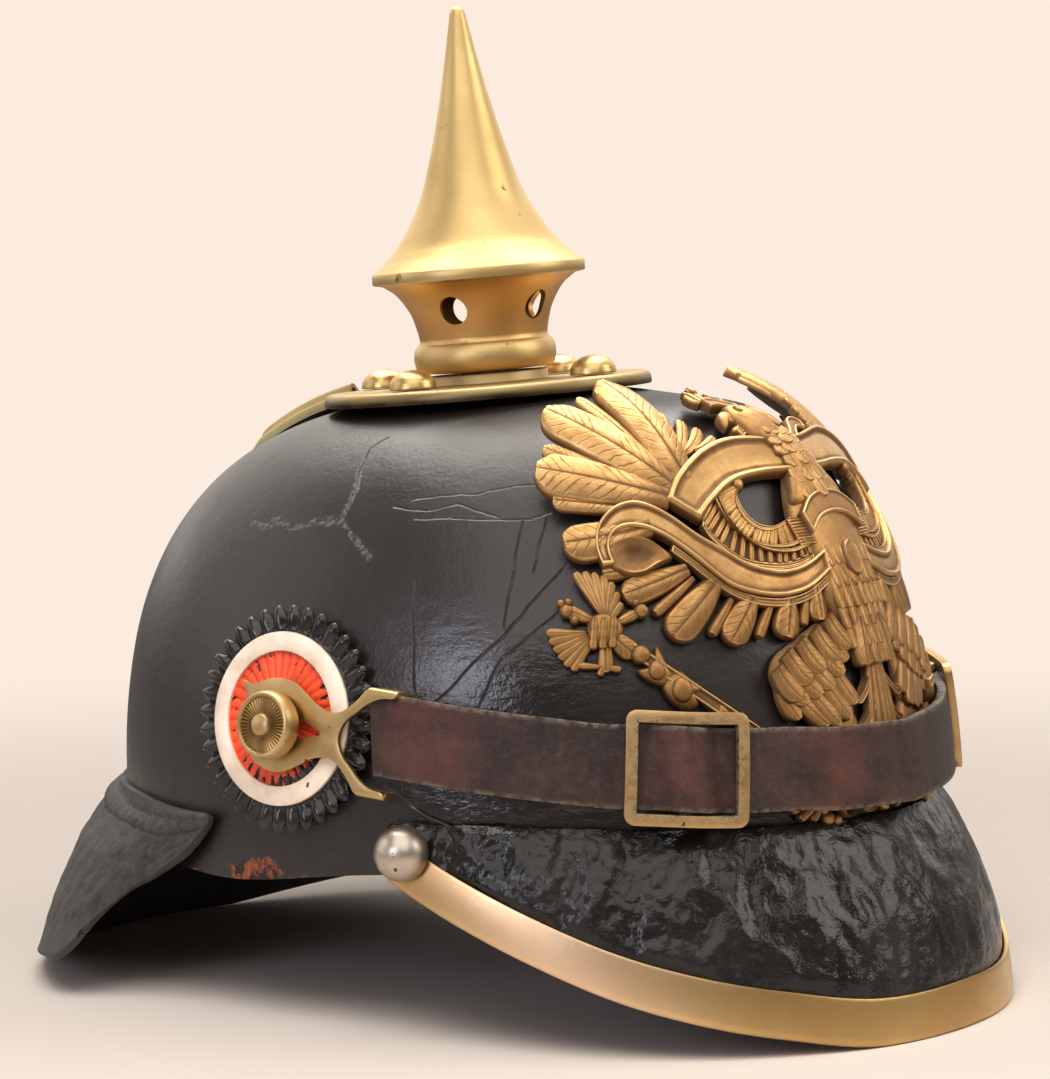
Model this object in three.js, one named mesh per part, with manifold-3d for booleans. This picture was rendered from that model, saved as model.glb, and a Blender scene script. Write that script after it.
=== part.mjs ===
// Spiked leather helmet, in millimetres, +Z up, front towards -Y, resting on its two peaks.
import * as THREE from 'three';
import Module from 'manifold-3d';
import { mergeVertices } from 'three/addons/utils/BufferGeometryUtils.js';
import { TessellateModifier } from 'three/addons/modifiers/TessellateModifier.js';

const wasm = await Module();
wasm.setup();

// Skull: half length, half width, heights of the wall foot and crown, and the wall.
const HALF_LENGTH = 103;
const HALF_WIDTH = 83.5;
const FOOT = 43;
const CROWN = 147;
const SKULL_WALL = 2.2;
const RIM_SIDE = 42;
const RIM_FALL = 4;
const CROWN_VENT = 11;
const GAP = 0.45;

// The helmet leans back this much when it rests on both peaks.
const LEAN = THREE.MathUtils.degToRad(4.7);
const FLOOR_AT_AXIS = 3.9;

// Peaks: angle from the front or rear, upper edge height, reach of the edge and its rise off the floor.
const PEAK_WALL = 2.2;
const FRONT_PEAK = [
  { angle: 0, top: 43.5, reach: 15.2, rise: 1.2 },
  { angle: 17, top: 44.2, reach: 15, rise: 1.3 },
  { angle: 30, top: 45.4, reach: 14.2, rise: 5.2 },
  { angle: 40, top: 46.6, reach: 13.4, rise: 9.2 },
  { angle: 50, top: 48.3, reach: 11.4, rise: 14.8 },
  { angle: 60, top: 50, reach: 8.6, rise: 22.6 },
  { angle: 70, top: 51.4, reach: 5.4, rise: 31.4 },
  { angle: 78, top: 52.2, reach: 3.4, rise: 39.6 },
];
const REAR_PEAK = [
  { angle: 0, top: 66, reach: 28, rise: -1, edge: 0 },
  { angle: 15, top: 65.4, reach: 27.2, rise: -0.9, edge: 16 },
  { angle: 30, top: 63.2, reach: 25.6, rise: 3.8, edge: 32 },
  { angle: 43, top: 60, reach: 24.6, rise: 8, edge: 46 },
  { angle: 52, top: 57.6, reach: 22.8, rise: 11.8, edge: 54 },
  { angle: 60, top: 56.2, reach: 14, rise: 20, edge: 56 },
  { angle: 67.5, top: 55.2, reach: 7, rise: 29, edge: 60 },
  { angle: 74, top: 54.6, reach: 3.6, rise: 40.4, edge: 70 },
];
const COLLAR_DEPTH = 0.13;

// Brass channel on the front peak and its two end studs.
const TRIM_WALL = 0.9;
const TRIM_OUTER_LEG = 9.6;
const TRIM_INNER_LEG = 5.5;
const TRIM_FOLD = 1.3;
const TRIM_STUD_RADIUS = 6.4;

// Crown metalwork.
const PLATE_RADIUS = 40;
const PLATE_Z = 149;
const PLATE_WALL = 1.3;
const STUD_CIRCLE = 31;
const STUD_RADIUS = 5.6;
const STUD_HEIGHT = 4.6;
const VENT_HOLES = 5;
const VENT_RADIUS = 3.1;
const VENT_Z = 18;

// Strap, buckles and side fittings.
const STRAP_WIDTH = 18.6;
const STRAP_WALL = 2.2;
const STRAP_END = 77.6;
const STRAP_LINE = [[0, 55.5], [17, 57], [37, 60.5], [50, 63.5], [67, 69], [78, 73.2]];
const STRAP_STAND = [[0, 5.6], [25, 5.3], [45, 5], [78, 5.2]];
const BUCKLE_ANGLE = 38.5;
const BUCKLE = { length: 27.6, height: 25, bar: 2.6, back: 0.35, front: 4.5, post: 3.2 };
const STRAP_BULGE = 2.5;
const SIDE_ANGLE = 93.6;
const SIDE_Z = 77;
const COCKADE_RADIUS = 26.5;
const POST_RADIUS = 3;

// Front plate: unrolled width per degree, stand-off at the foot and top, and a small turn on the skull.
const PLATE_PER_DEGREE = 1.5;
const PLATE_TURN = 1.7;
const PLATE_STAND = [[0, 1.2], [45, 1.4], [85, 4.2], [130, 4.8]];

const colours = {
  leather: { color: 0x211e1d, roughness: 0.42, metalness: 0 },
  strap: { color: 0x3a2521, roughness: 0.6, metalness: 0 },
  brass: { color: 0xb8924c, roughness: 0.35, metalness: 1 },
  gilt: { color: 0xbf9257, roughness: 0.36, metalness: 1 },
  nickel: { color: 0x9a9389, roughness: 0.28, metalness: 1 },
  paint: { color: 0xc9452f, roughness: 0.45, metalness: 0 },
};

const helmet = new THREE.Group();
helmet.name = 'helmet';

function lerpTable(table, x) {
  const at = Math.abs(x);
  for (let i = 1; i < table.length; i++) {
    const [x0, y0] = table[i - 1];
    const [x1, y1] = table[i];
    if (at <= x1) return y0 + (y1 - y0) * Math.max(0, (at - x0) / (x1 - x0));
  }
  return table[table.length - 1][1];
}

// A value of a peak's table, eased with a cubic through its neighbours.
function peakValue(table, key, x) {
  const last = table.length - 1;
  const place = Math.min(Math.max(x, 0), 1) * last;
  const i = Math.min(Math.floor(place), last - 1);
  const t = place - i;
  const at = (n) => (n < 0 ? (key === 'angle' || key === 'edge' ? -table[-n][key] : table[-n][key])
    : table[Math.min(n, last)][key]);
  const m0 = (at(i + 1) - at(i - 1)) / 2;
  const m1 = i + 2 > last ? at(i + 1) - at(i) : (at(i + 2) - at(i)) / 2;
  const t2 = t * t;
  const t3 = t2 * t;
  return (2 * t3 - 3 * t2 + 1) * at(i) + (t3 - 2 * t2 + t) * m0
    + (3 * t2 - 2 * t3) * at(i + 1) + (t3 - t2) * m1;
}

// Skull wall: share of the half axes at a height, straight down below the foot.
function wallShare(z) {
  const h = THREE.MathUtils.clamp((z - FOOT) / (CROWN - FOOT), 0, 1);
  return Math.cbrt(Math.max(1 - Math.pow(h, 2.5), 0));
}

// The mean meridian by its arc from the foot, with the outward slope at each step.
const MERIDIAN = [];
{
  const steps = 600;
  let arc = 0;
  for (let i = 0; i <= steps; i++) {
    const h = Math.pow(i / steps, 0.8);
    const z = FOOT + (CROWN - FOOT) * h;
    const share = wallShare(z);
    if (i > 0) {
      const before = MERIDIAN[i - 1];
      arc += Math.hypot(95 * (share - before.share), z - before.z);
    }
    MERIDIAN.push({ arc, share, z });
  }
  MERIDIAN.forEach((step, i) => {
    const a = MERIDIAN[Math.max(i - 1, 0)];
    const b = MERIDIAN[Math.min(i + 1, steps)];
    const run = Math.hypot(95 * (b.share - a.share), b.z - a.z);
    step.out = (b.z - a.z) / run;
    step.up = (95 * (a.share - b.share)) / run;
  });
}
const ARC_END = MERIDIAN[MERIDIAN.length - 1].arc;

function meridianAt(arc) {
  if (arc <= 0) return { share: 1, z: FOOT + arc, out: 1, up: 0 };
  let lo = 0;
  let hi = MERIDIAN.length - 1;
  while (hi - lo > 1) {
    const mid = (lo + hi) >> 1;
    if (MERIDIAN[mid].arc <= arc) lo = mid;
    else hi = mid;
  }
  const a = MERIDIAN[lo];
  const b = MERIDIAN[hi];
  const t = Math.min((arc - a.arc) / (b.arc - a.arc), 1);
  const mix = (key) => a[key] + (b[key] - a[key]) * t;
  return { share: mix('share'), z: mix('z'), out: mix('out'), up: mix('up') };
}

// A point on the skull: angle from the front to the wearer's right, arc up the wall, stand-off.
function onSkull(angle, arc, stand) {
  const at = meridianAt(arc);
  const turn = THREE.MathUtils.degToRad(angle);
  const nx = -Math.sin(turn) / HALF_WIDTH;
  const ny = -Math.cos(turn) / HALF_LENGTH;
  const flat = Math.hypot(nx, ny);
  return new THREE.Vector3(
    -HALF_WIDTH * at.share * Math.sin(turn) + (nx / flat) * at.out * stand,
    -HALF_LENGTH * at.share * Math.cos(turn) + (ny / flat) * at.out * stand,
    at.z + at.up * stand,
  );
}

function arcAtHeight(z) {
  if (z <= FOOT) return z - FOOT;
  let i = 1;
  while (i < MERIDIAN.length - 1 && MERIDIAN[i].z < z) i++;
  const a = MERIDIAN[i - 1];
  const b = MERIDIAN[i];
  return a.arc + (b.arc - a.arc) * ((z - a.z) / (b.z - a.z));
}

function floorHeight(y) {
  return FLOOR_AT_AXIS + y * Math.tan(LEAN);
}

// Turns a closed geometry's faces outwards.
function outward(geometry) {
  const p = geometry.attributes.position;
  const index = geometry.index;
  const a = new THREE.Vector3();
  const b = new THREE.Vector3();
  const c = new THREE.Vector3();
  let volume = 0;
  for (let i = 0; i < index.count; i += 3) {
    a.fromBufferAttribute(p, index.getX(i));
    b.fromBufferAttribute(p, index.getX(i + 1));
    c.fromBufferAttribute(p, index.getX(i + 2));
    volume += a.dot(b.cross(c));
  }
  if (volume < 0) {
    for (let i = 0; i < index.count; i += 3) {
      const keep = index.getX(i + 1);
      index.setX(i + 1, index.getX(i + 2));
      index.setX(i + 2, keep);
    }
  }
  return geometry;
}

function meshGeometry(positions, triangles) {
  const geometry = new THREE.BufferGeometry();
  geometry.setAttribute('position', new THREE.Float32BufferAttribute(positions, 3));
  geometry.setIndex(triangles);
  return outward(geometry);
}

// A closed band of cross-sections: section(u) gives the same number of points at each step.
function swept(steps, section, closed) {
  const rings = [];
  for (let i = 0; i < (closed ? steps : steps + 1); i++) rings.push(section(i / steps));
  const n = rings[0].length;
  const positions = rings.flat().flatMap((v) => v.toArray());
  const triangles = [];
  const at = (i, j) => (i % rings.length) * n + (j % n);
  for (let i = 0; i < steps; i++) {
    for (let j = 0; j < n; j++) {
      triangles.push(at(i, j), at(i + 1, j), at(i + 1, j + 1));
      triangles.push(at(i, j), at(i + 1, j + 1), at(i, j + 1));
    }
  }
  if (!closed) {
    // Each end is closed as a strip between the two long sides of the section.
    for (const [ring, flip] of [[0, false], [steps, true]]) {
      for (let j = 0; j < n / 2 - 1; j++) {
        const quad = [at(ring, j), at(ring, j + 1), at(ring, n - 2 - j), at(ring, n - 1 - j)];
        if (flip) quad.reverse();
        triangles.push(quad[0], quad[1], quad[2], quad[0], quad[2], quad[3]);
      }
    }
  }
  return meshGeometry(positions, triangles);
}

function toManifold(geometry) {
  const bare = geometry.clone();
  bare.deleteAttribute('normal');
  bare.deleteAttribute('uv');
  const joined = mergeVertices(bare, 1e-4);
  return new wasm.Manifold(new wasm.Mesh({
    numProp: 3,
    vertProperties: new Float32Array(joined.attributes.position.array),
    triVerts: new Uint32Array(joined.index.array),
  }));
}

function toGeometry(manifold) {
  const mesh = manifold.getMesh();
  const positions = [];
  for (let i = 0; i < mesh.vertProperties.length; i += mesh.numProp) {
    positions.push(mesh.vertProperties[i], mesh.vertProperties[i + 1], mesh.vertProperties[i + 2]);
  }
  return meshGeometry(positions, Array.from(mesh.triVerts));
}

// Bends a flat solid: no edge stays longer than the step, then each corner goes through the map.
function bent(geometry, step, map) {
  const loose = geometry.toNonIndexed();
  const fine = new TessellateModifier(step, 12).modify(loose);
  fine.deleteAttribute('normal');
  fine.deleteAttribute('uv');
  const joined = mergeVertices(fine, 1e-3);
  const p = joined.attributes.position;
  for (let i = 0; i < p.count; i++) {
    const q = map(p.getX(i), p.getY(i), p.getZ(i));
    p.setXYZ(i, q.x, q.y, q.z);
  }
  return outward(joined);
}

function mirrored(geometry) {
  const copy = geometry.clone();
  copy.scale(-1, 1, 1);
  return outward(copy);
}

function lathe(points, segments) {
  const geometry = new THREE.LatheGeometry(points.map(([r, z]) => new THREE.Vector2(r, z)), segments);
  geometry.deleteAttribute('normal');
  geometry.deleteAttribute('uv');
  geometry.rotateX(Math.PI / 2);
  const joined = mergeVertices(geometry, 1e-4);
  const index = joined.index.array;
  const kept = [];
  for (let i = 0; i < index.length; i += 3) {
    const [a, b, c] = [index[i], index[i + 1], index[i + 2]];
    if (a !== b && b !== c && c !== a) kept.push(a, b, c);
  }
  joined.setIndex(kept);
  return outward(joined);
}

function add(name, geometry, finish) {
  geometry.computeVertexNormals();
  const mesh = new THREE.Mesh(geometry, new THREE.MeshStandardMaterial(colours[finish]));
  mesh.name = name;
  helmet.add(mesh);
  return mesh;
}

// Skull: a moulded dome with an open foot and a vent hole at the crown.
{
  const rows = 10;
  const topArc = ARC_END - CROWN_VENT;
  const section = (u) => {
    const angle = u * 360;
    const rim = RIM_SIDE - RIM_FALL * Math.cos(THREE.MathUtils.degToRad(angle));
    const start = rim - FOOT;
    const outer = [];
    const inner = [];
    for (let j = 0; j <= rows; j++) {
      const arc = j === 0 ? start : Math.max(start, 3) + (topArc - 3) * ((j - 0.4) / (rows - 0.4));
      outer.push(onSkull(angle, j === 0 ? start : arc, 0));
      inner.push(onSkull(angle, j === 0 ? start : arc, -SKULL_WALL));
    }
    return [...outer, ...inner.reverse()];
  };
  add('shell', swept(38, section, true), 'leather');
}

// Front peak, its middle surface by place along the edge and down from the skull.
function frontPeak(side, down) {
  const place = Math.abs(side);
  const sign = Math.sign(side) || 1;
  const angle = peakValue(FRONT_PEAK, 'angle', place);
  const turn = THREE.MathUtils.degToRad(angle);
  const top = peakValue(FRONT_PEAK, 'top', place);
  const reach = peakValue(FRONT_PEAK, 'reach', place);
  const rise = peakValue(FRONT_PEAK, 'rise', place);
  const low = floorHeight(-(HALF_LENGTH + reach) * Math.cos(turn)) + rise;
  const share = wallShare(top);
  const root = GAP + PEAK_WALL / 2;
  const out = root + (reach - root) * (1 - Math.pow(1 - down, 2));
  const ease = share + (1 - share) * down;
  return new THREE.Vector3(
    -sign * (HALF_WIDTH * ease + out) * Math.sin(turn),
    -(HALF_LENGTH * ease + out) * Math.cos(turn),
    top + (low - top) * down,
  );
}

// Rear peak: a collar against the skull, then a long slope out to the floor.
function rearPeak(side, down) {
  const place = Math.abs(side);
  const sign = Math.sign(side) || 1;
  const rootTurn = peakValue(REAR_PEAK, 'angle', place);
  const edgeTurn = peakValue(REAR_PEAK, 'edge', place);
  const turn = THREE.MathUtils.degToRad(rootTurn + (edgeTurn - rootTurn) * down);
  const top = peakValue(REAR_PEAK, 'top', place);
  const reach = peakValue(REAR_PEAK, 'reach', place);
  const rise = peakValue(REAR_PEAK, 'rise', place);
  const edgeY = (HALF_LENGTH + reach) * Math.cos(THREE.MathUtils.degToRad(edgeTurn));
  const low = floorHeight(edgeY) + rise;
  const z = top + (low - top) * down;
  const share = wallShare(z);
  const root = GAP + PEAK_WALL / 2;
  const slope = Math.max(0, (down - COLLAR_DEPTH) / (1 - COLLAR_DEPTH));
  const out = root + (reach - root) * Math.pow(slope, 1.12);
  return new THREE.Vector3(
    -sign * (HALF_WIDTH * share + out) * Math.sin(turn),
    (HALF_LENGTH * share + out) * Math.cos(turn),
    z,
  );
}

// Outward normal of a peak's middle surface.
function peakNormal(surface, side, down) {
  const e = 0.004;
  const across = surface(Math.min(side + e, 1), down).sub(surface(Math.max(side - e, -1), down));
  const along = surface(side, Math.min(down + e, 1)).sub(surface(side, Math.max(down - e, 0)));
  const normal = across.cross(along).normalize();
  const here = surface(side, down);
  if (normal.x * here.x + normal.y * here.y < 0) normal.negate();
  return normal;
}

function overFloor(point, lift) {
  const low = floorHeight(point.y) + lift;
  if (point.z < low) point.z = low;
  return point;
}

function peakSolid(surface, steps, rows, lift) {
  const section = (u) => {
    const side = u * 2 - 1;
    const outer = [];
    const inner = [];
    for (let j = 0; j <= rows; j++) {
      const down = j / rows;
      const point = surface(side, down);
      const normal = peakNormal(surface, side, down).multiplyScalar(PEAK_WALL / 2);
      outer.push(overFloor(point.clone().add(normal), lift));
      inner.push(overFloor(point.clone().sub(normal), lift));
    }
    return [...outer, ...inner.reverse()];
  };
  return swept(steps, section, false);
}
add('front_peak', peakSolid(frontPeak, 28, 5, TRIM_FOLD + 0.1), 'leather');
add('rear_peak', peakSolid(rearPeak, 28, 6, 0), 'leather');

// Brass channel: outer leg, fold under the edge and a shorter inner leg.
{
  const outFace = PEAK_WALL / 2 + 0.35;
  const section = (u) => {
    const side = u * 2 - 1;
    const edge = frontPeak(side, 1);
    const normal = peakNormal(frontPeak, side, 1);
    const drop = edge.clone().sub(frontPeak(side, 0.94)).normalize();
    const span = edge.distanceTo(frontPeak(side, 0));
    const outerLeg = Math.min(TRIM_OUTER_LEG, span * 0.72) / span;
    const innerLeg = Math.min(TRIM_INNER_LEG, span * 0.5) / span;
    const face = (down, stand) => frontPeak(side, down)
      .add(peakNormal(frontPeak, side, down).multiplyScalar(stand));
    const fold = (stand, below) => overFloor(
      edge.clone().addScaledVector(normal, stand).addScaledVector(drop, below), 0);
    const cut = (stand) => overFloor(
      edge.clone().addScaledVector(normal, stand).addScaledVector(drop, 0.35), TRIM_WALL * 0.6);
    const full = outFace + TRIM_WALL;
    return [
      face(1 - outerLeg, full), face(1 - outerLeg / 2, full), fold(full, TRIM_FOLD * 0.3),
      fold(full - 0.7, TRIM_FOLD + 0.4), fold(-full, TRIM_FOLD + 0.4), face(1 - innerLeg, -full),
      face(1 - innerLeg, -outFace), cut(-outFace), cut(outFace),
      face(1 - outerLeg / 2, outFace), face(1 - outerLeg, outFace),
    ];
  };
  add('peak_trim', swept(28, section, false), 'brass');
}

// A frame on a surface: the first axis points to the front, the second up, the third out.
function placeAt(geometry, origin, out) {
  const n = out.clone().normalize();
  const toFront = new THREE.Vector3(0, -1, 0).addScaledVector(n, n.y).normalize();
  const up = n.clone().cross(toFront);
  const matrix = new THREE.Matrix4().makeBasis(toFront, up, n).setPosition(origin);
  const placed = geometry.clone().applyMatrix4(matrix);
  return outward(placed);
}

function dome(radius, height, segments) {
  const sphere = (radius * radius + height * height) / (2 * height);
  const points = [[0, 0], [radius, 0], [radius, 0.5]];
  for (const t of [0.35, 0.65, 0.88]) {
    const r = radius * Math.cos(t * Math.PI / 2);
    points.push([r, Math.sqrt(sphere * sphere - r * r) - (sphere - height)]);
  }
  points.push([0, height]);
  return lathe(points, segments);
}

// Domed studs at the two ends of the channel.
{
  const place = 0.955;
  const point = frontPeak(place, 0.45);
  const normal = peakNormal(frontPeak, place, 0.45);
  point.addScaledVector(normal, PEAK_WALL / 2 + 0.35 + TRIM_WALL + 0.7);
  const stud = placeAt(dome(TRIM_STUD_RADIUS, 5.6, 14), point, normal);
  add('trim_stud_right', stud, 'nickel');
  add('trim_stud_left', mirrored(stud), 'nickel');
}

// Base plate: a flat disc, turned down at its edge, with a low collar round the middle.
{
  const z = PLATE_Z;
  const plate = lathe([
    [9, z - PLATE_WALL], [37.5, z - PLATE_WALL], [38.9, z - 3.1], [PLATE_RADIUS, z - 3.1],
    [PLATE_RADIUS - 0.4, z - 1], [38.4, z], [15, z], [14.6, z + 2.4], [9, z + 2.4], [9, z - PLATE_WALL],
  ], 24);
  add('base_plate', plate, 'brass');
  const stud = dome(STUD_RADIUS, STUD_HEIGHT, 12);
  const spots = { front: [0, -1], rear: [0, 1], right: [-1, 0], left: [1, 0] };
  for (const [name, [x, y]] of Object.entries(spots)) {
    const moved = stud.clone();
    moved.translate(x * STUD_CIRCLE, y * STUD_CIRCLE, z + 0.3);
    add(`base_stud_${name}`, moved, 'brass');
  }
}

// Spike: hollow cone, flared rim, pierced neck and bead in one.
{
  const z = PLATE_Z;
  const inside = [[0, 84], [5.9, 64.4], [11.5, 44.6], [16.6, 35], [22.2, 27.4], [16.4, 18],
    [14.2, 11], [12.6, 2.9]];
  const outside = [[14.4, 2.9], [16.6, 4.8], [17.2, 7.1], [16.5, 9.4], [15.5, 10.8], [16, 13.7],
    [17.6, 18], [20.6, 23], [24.8, 25.6], [25.9, 27], [25.4, 28.6], [21.4, 31.6], [18, 35.6],
    [12.8, 45], [9.5, 55], [4, 78], [2, 89], [0, 91]];
  const profile = [...inside, ...outside].map(([r, h]) => [r, h + z]);
  let spike = toManifold(lathe(profile, 16));
  for (let i = 0; i < VENT_HOLES; i++) {
    const bore = new THREE.CylinderGeometry(VENT_RADIUS, VENT_RADIUS, 14, 12);
    bore.translate(0, -18, 0);
    bore.rotateZ((i * 2 * Math.PI) / VENT_HOLES);
    bore.translate(0, 0, z + VENT_Z);
    spike = spike.subtract(toManifold(bore));
  }
  add('spike', toGeometry(spike), 'brass');
}

// Spine: a ridged strip down the back of the skull, raised into a hood under the base plate.
{
  const topArc = arcAtHeight(143.6);
  const footArc = arcAtHeight(66.9);
  const steps = 17;
  const section = (u) => {
    const arc = footArc + (topArc - footArc) * u;
    const hood = Math.max(0, Math.min(1, (u - 0.72) / 0.1)) * 2.6;
    const halves = [-6.4, -4.2, 0, 4.2, 6.4];
    const rise = [1.1, 1.5 + hood * 0.8, 2.6 + hood, 1.5 + hood * 0.8, 1.1];
    const ring = [];
    const share = Math.max(meridianAt(arc).share, 0.2);
    const place = (half, stand) => onSkull(
      180 + THREE.MathUtils.radToDeg(half / (HALF_WIDTH * share)), arc, stand);
    halves.forEach((half, i) => ring.push(place(half, GAP + 0.1 + rise[i])));
    halves.slice().reverse().forEach((half) => ring.push(place(half, GAP + 0.1)));
    return ring;
  };
  add('rear_spine', swept(steps, section, false), 'brass');
}

// Chin strap: a flat leather band over the front from side to side, lifted over each buckle's bar.
function strapMiddle(angle) {
  return arcAtHeight(lerpTable(STRAP_LINE, angle));
}
function strapStand(angle) {
  return lerpTable(STRAP_STAND, angle);
}
{
  const nearBar = [-8, -5, -3, 0, 3, 5, 8].map((off) => BUCKLE_ANGLE + off / 1.72);
  const half = [6, 11, 16, 21, 26, 30, ...nearBar, 47, 52, 57, 62, 67, 72, STRAP_END];
  const stops = [...half.map((a) => -a).reverse(), 0, ...half];
  const steps = stops.length - 1;
  const section = (u) => {
    const angle = stops[Math.round(u * steps)];
    const off = (Math.abs(angle) - BUCKLE_ANGLE) * 1.72;
    const lift = STRAP_BULGE * Math.max(0, 1 - Math.pow(Math.max(0, Math.abs(off) - 3) / 5, 2));
    const middle = strapMiddle(angle);
    const stand = strapStand(angle) + lift;
    const edge = STRAP_WIDTH / 2;
    const corner = (across, out) => onSkull(angle, middle + across, stand + out);
    return [corner(-edge, STRAP_WALL), corner(edge, STRAP_WALL), corner(edge, 0), corner(-edge, 0)];
  };
  add('chin_strap', swept(steps, section, false), 'strap');
}

function block(x0, x1, y0, y1, z0, z1) {
  const box = new THREE.BoxGeometry(x1 - x0, y1 - y0, z1 - z0);
  box.translate((x0 + x1) / 2, (y0 + y1) / 2, (z0 + z1) / 2);
  return box;
}

// Slide buckles: a frame in front of the strap with a middle bar behind its bulge.
{
  const { length, height, bar, back, front, post } = BUCKLE;
  const l = length / 2;
  const h = height / 2;
  const low = STRAP_WALL + 0.4;
  let frame = toManifold(block(-l, l, -h, h, low, front));
  frame = frame.subtract(toManifold(block(-l + bar, l - bar, -h + bar, h - bar, 0, front + 1)));
  const drop = back + 1.7;
  let middle = toManifold(block(-post / 2, post / 2, -h, h, back, front));
  middle = middle.subtract(toManifold(block(-post, post, -h + bar, h - bar, drop, front + 1)));
  frame = frame.add(middle);
  const right = bent(toGeometry(frame), 14, (x, y, out) => {
    const angle = BUCKLE_ANGLE + (x - 0.12 * y) / 1.72;
    return onSkull(angle, strapMiddle(angle) + y, strapStand(angle) + out);
  });
  add('strap_buckle_right', right, 'brass');
  add('strap_buckle_left', mirrored(right), 'brass');
}

// Cockade, post and strap hook, made on the wearer's right and mirrored.
{
  const arc = arcAtHeight(SIDE_Z);
  const origin = onSkull(SIDE_ANGLE, arc, 0);
  const out = onSkull(SIDE_ANGLE, arc, 1).sub(origin);
  const both = (name, geometry, finish) => {
    const right = placeAt(geometry, origin, out);
    add(`${name}_right`, right, finish);
    add(`${name}_left`, mirrored(right), finish);
  };

  const r = COCKADE_RADIUS;
  const cockade = lathe([
    [POST_RADIUS + 0.35, GAP], [r - 0.6, GAP], [r, GAP + 0.7], [r - 1.4, GAP + 1.75], [20.4, GAP + 1.2],
    [20, GAP + 1.9], [16, GAP + 2.5], [15.6, GAP + 3], [POST_RADIUS + 0.35, GAP + 3.7],
    [POST_RADIUS + 0.35, GAP],
  ], 22);
  both('cockade', cockade, 'paint');

  const post = lathe([
    [0, GAP], [POST_RADIUS, GAP], [POST_RADIUS, 7], [7.2, 7.6], [8, 9], [8, 11.4], [7, 12.6], [3, 12.2],
    [0, 13.6],
  ], 16);
  both('side_post', post, 'brass');

  // The hook is an eye round the post, a fork to the strap's end and two claws on its edges.
  const outline = new THREE.Shape();
  const edge = [[-12.6, 8.4], [-8.4, 8.6], [-3, 10.2], [3, 10.2], [8, 7.4], [13, 5.6], [19, 8.4],
    [25, 12.4], [32, 12.4], [32, 8.8], [27, 7.6], [22.4, 4.4], [21, 0], [22.4, -4.4], [27, -7.6],
    [32, -8.8], [32, -12.4], [25, -12.4], [19, -8.4], [13, -5.6], [8, -7.4], [3, -10.2], [-3, -10.2],
    [-8.4, -7], [-10.6, 0], [-9.8, 4]];
  outline.setFromPoints(edge.reverse().map(([x, y]) => new THREE.Vector2(x, y)));
  const eye = Array.from({ length: 16 }, (_, i) => new THREE.Vector2(
    (POST_RADIUS + 0.5) * Math.cos(-i * Math.PI / 8), (POST_RADIUS + 0.5) * Math.sin(-i * Math.PI / 8)));
  outline.holes.push(new THREE.Path().setFromPoints(eye));
  const flat = new THREE.ExtrudeGeometry(outline, { depth: 1.3, bevelEnabled: false });
  flat.translate(0, 0, 4.9);
  let hook = toManifold(flat);
  const fall = (x) => (x * x) / 250;
  for (const side of [-1, 1]) {
    const y0 = side < 0 ? -12.4 : 10.8;
    const claw = block(26.4, 32, y0, y0 + 1.6, 4.4 - fall(29) - 1.2, 5.4);
    hook = hook.add(toManifold(claw));
  }
  const hung = toGeometry(hook);
  hung.rotateZ(Math.atan2(lerpTable(STRAP_LINE, STRAP_END) - SIDE_Z, 24));
  both('strap_hook', hung, 'brass');
}

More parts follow.
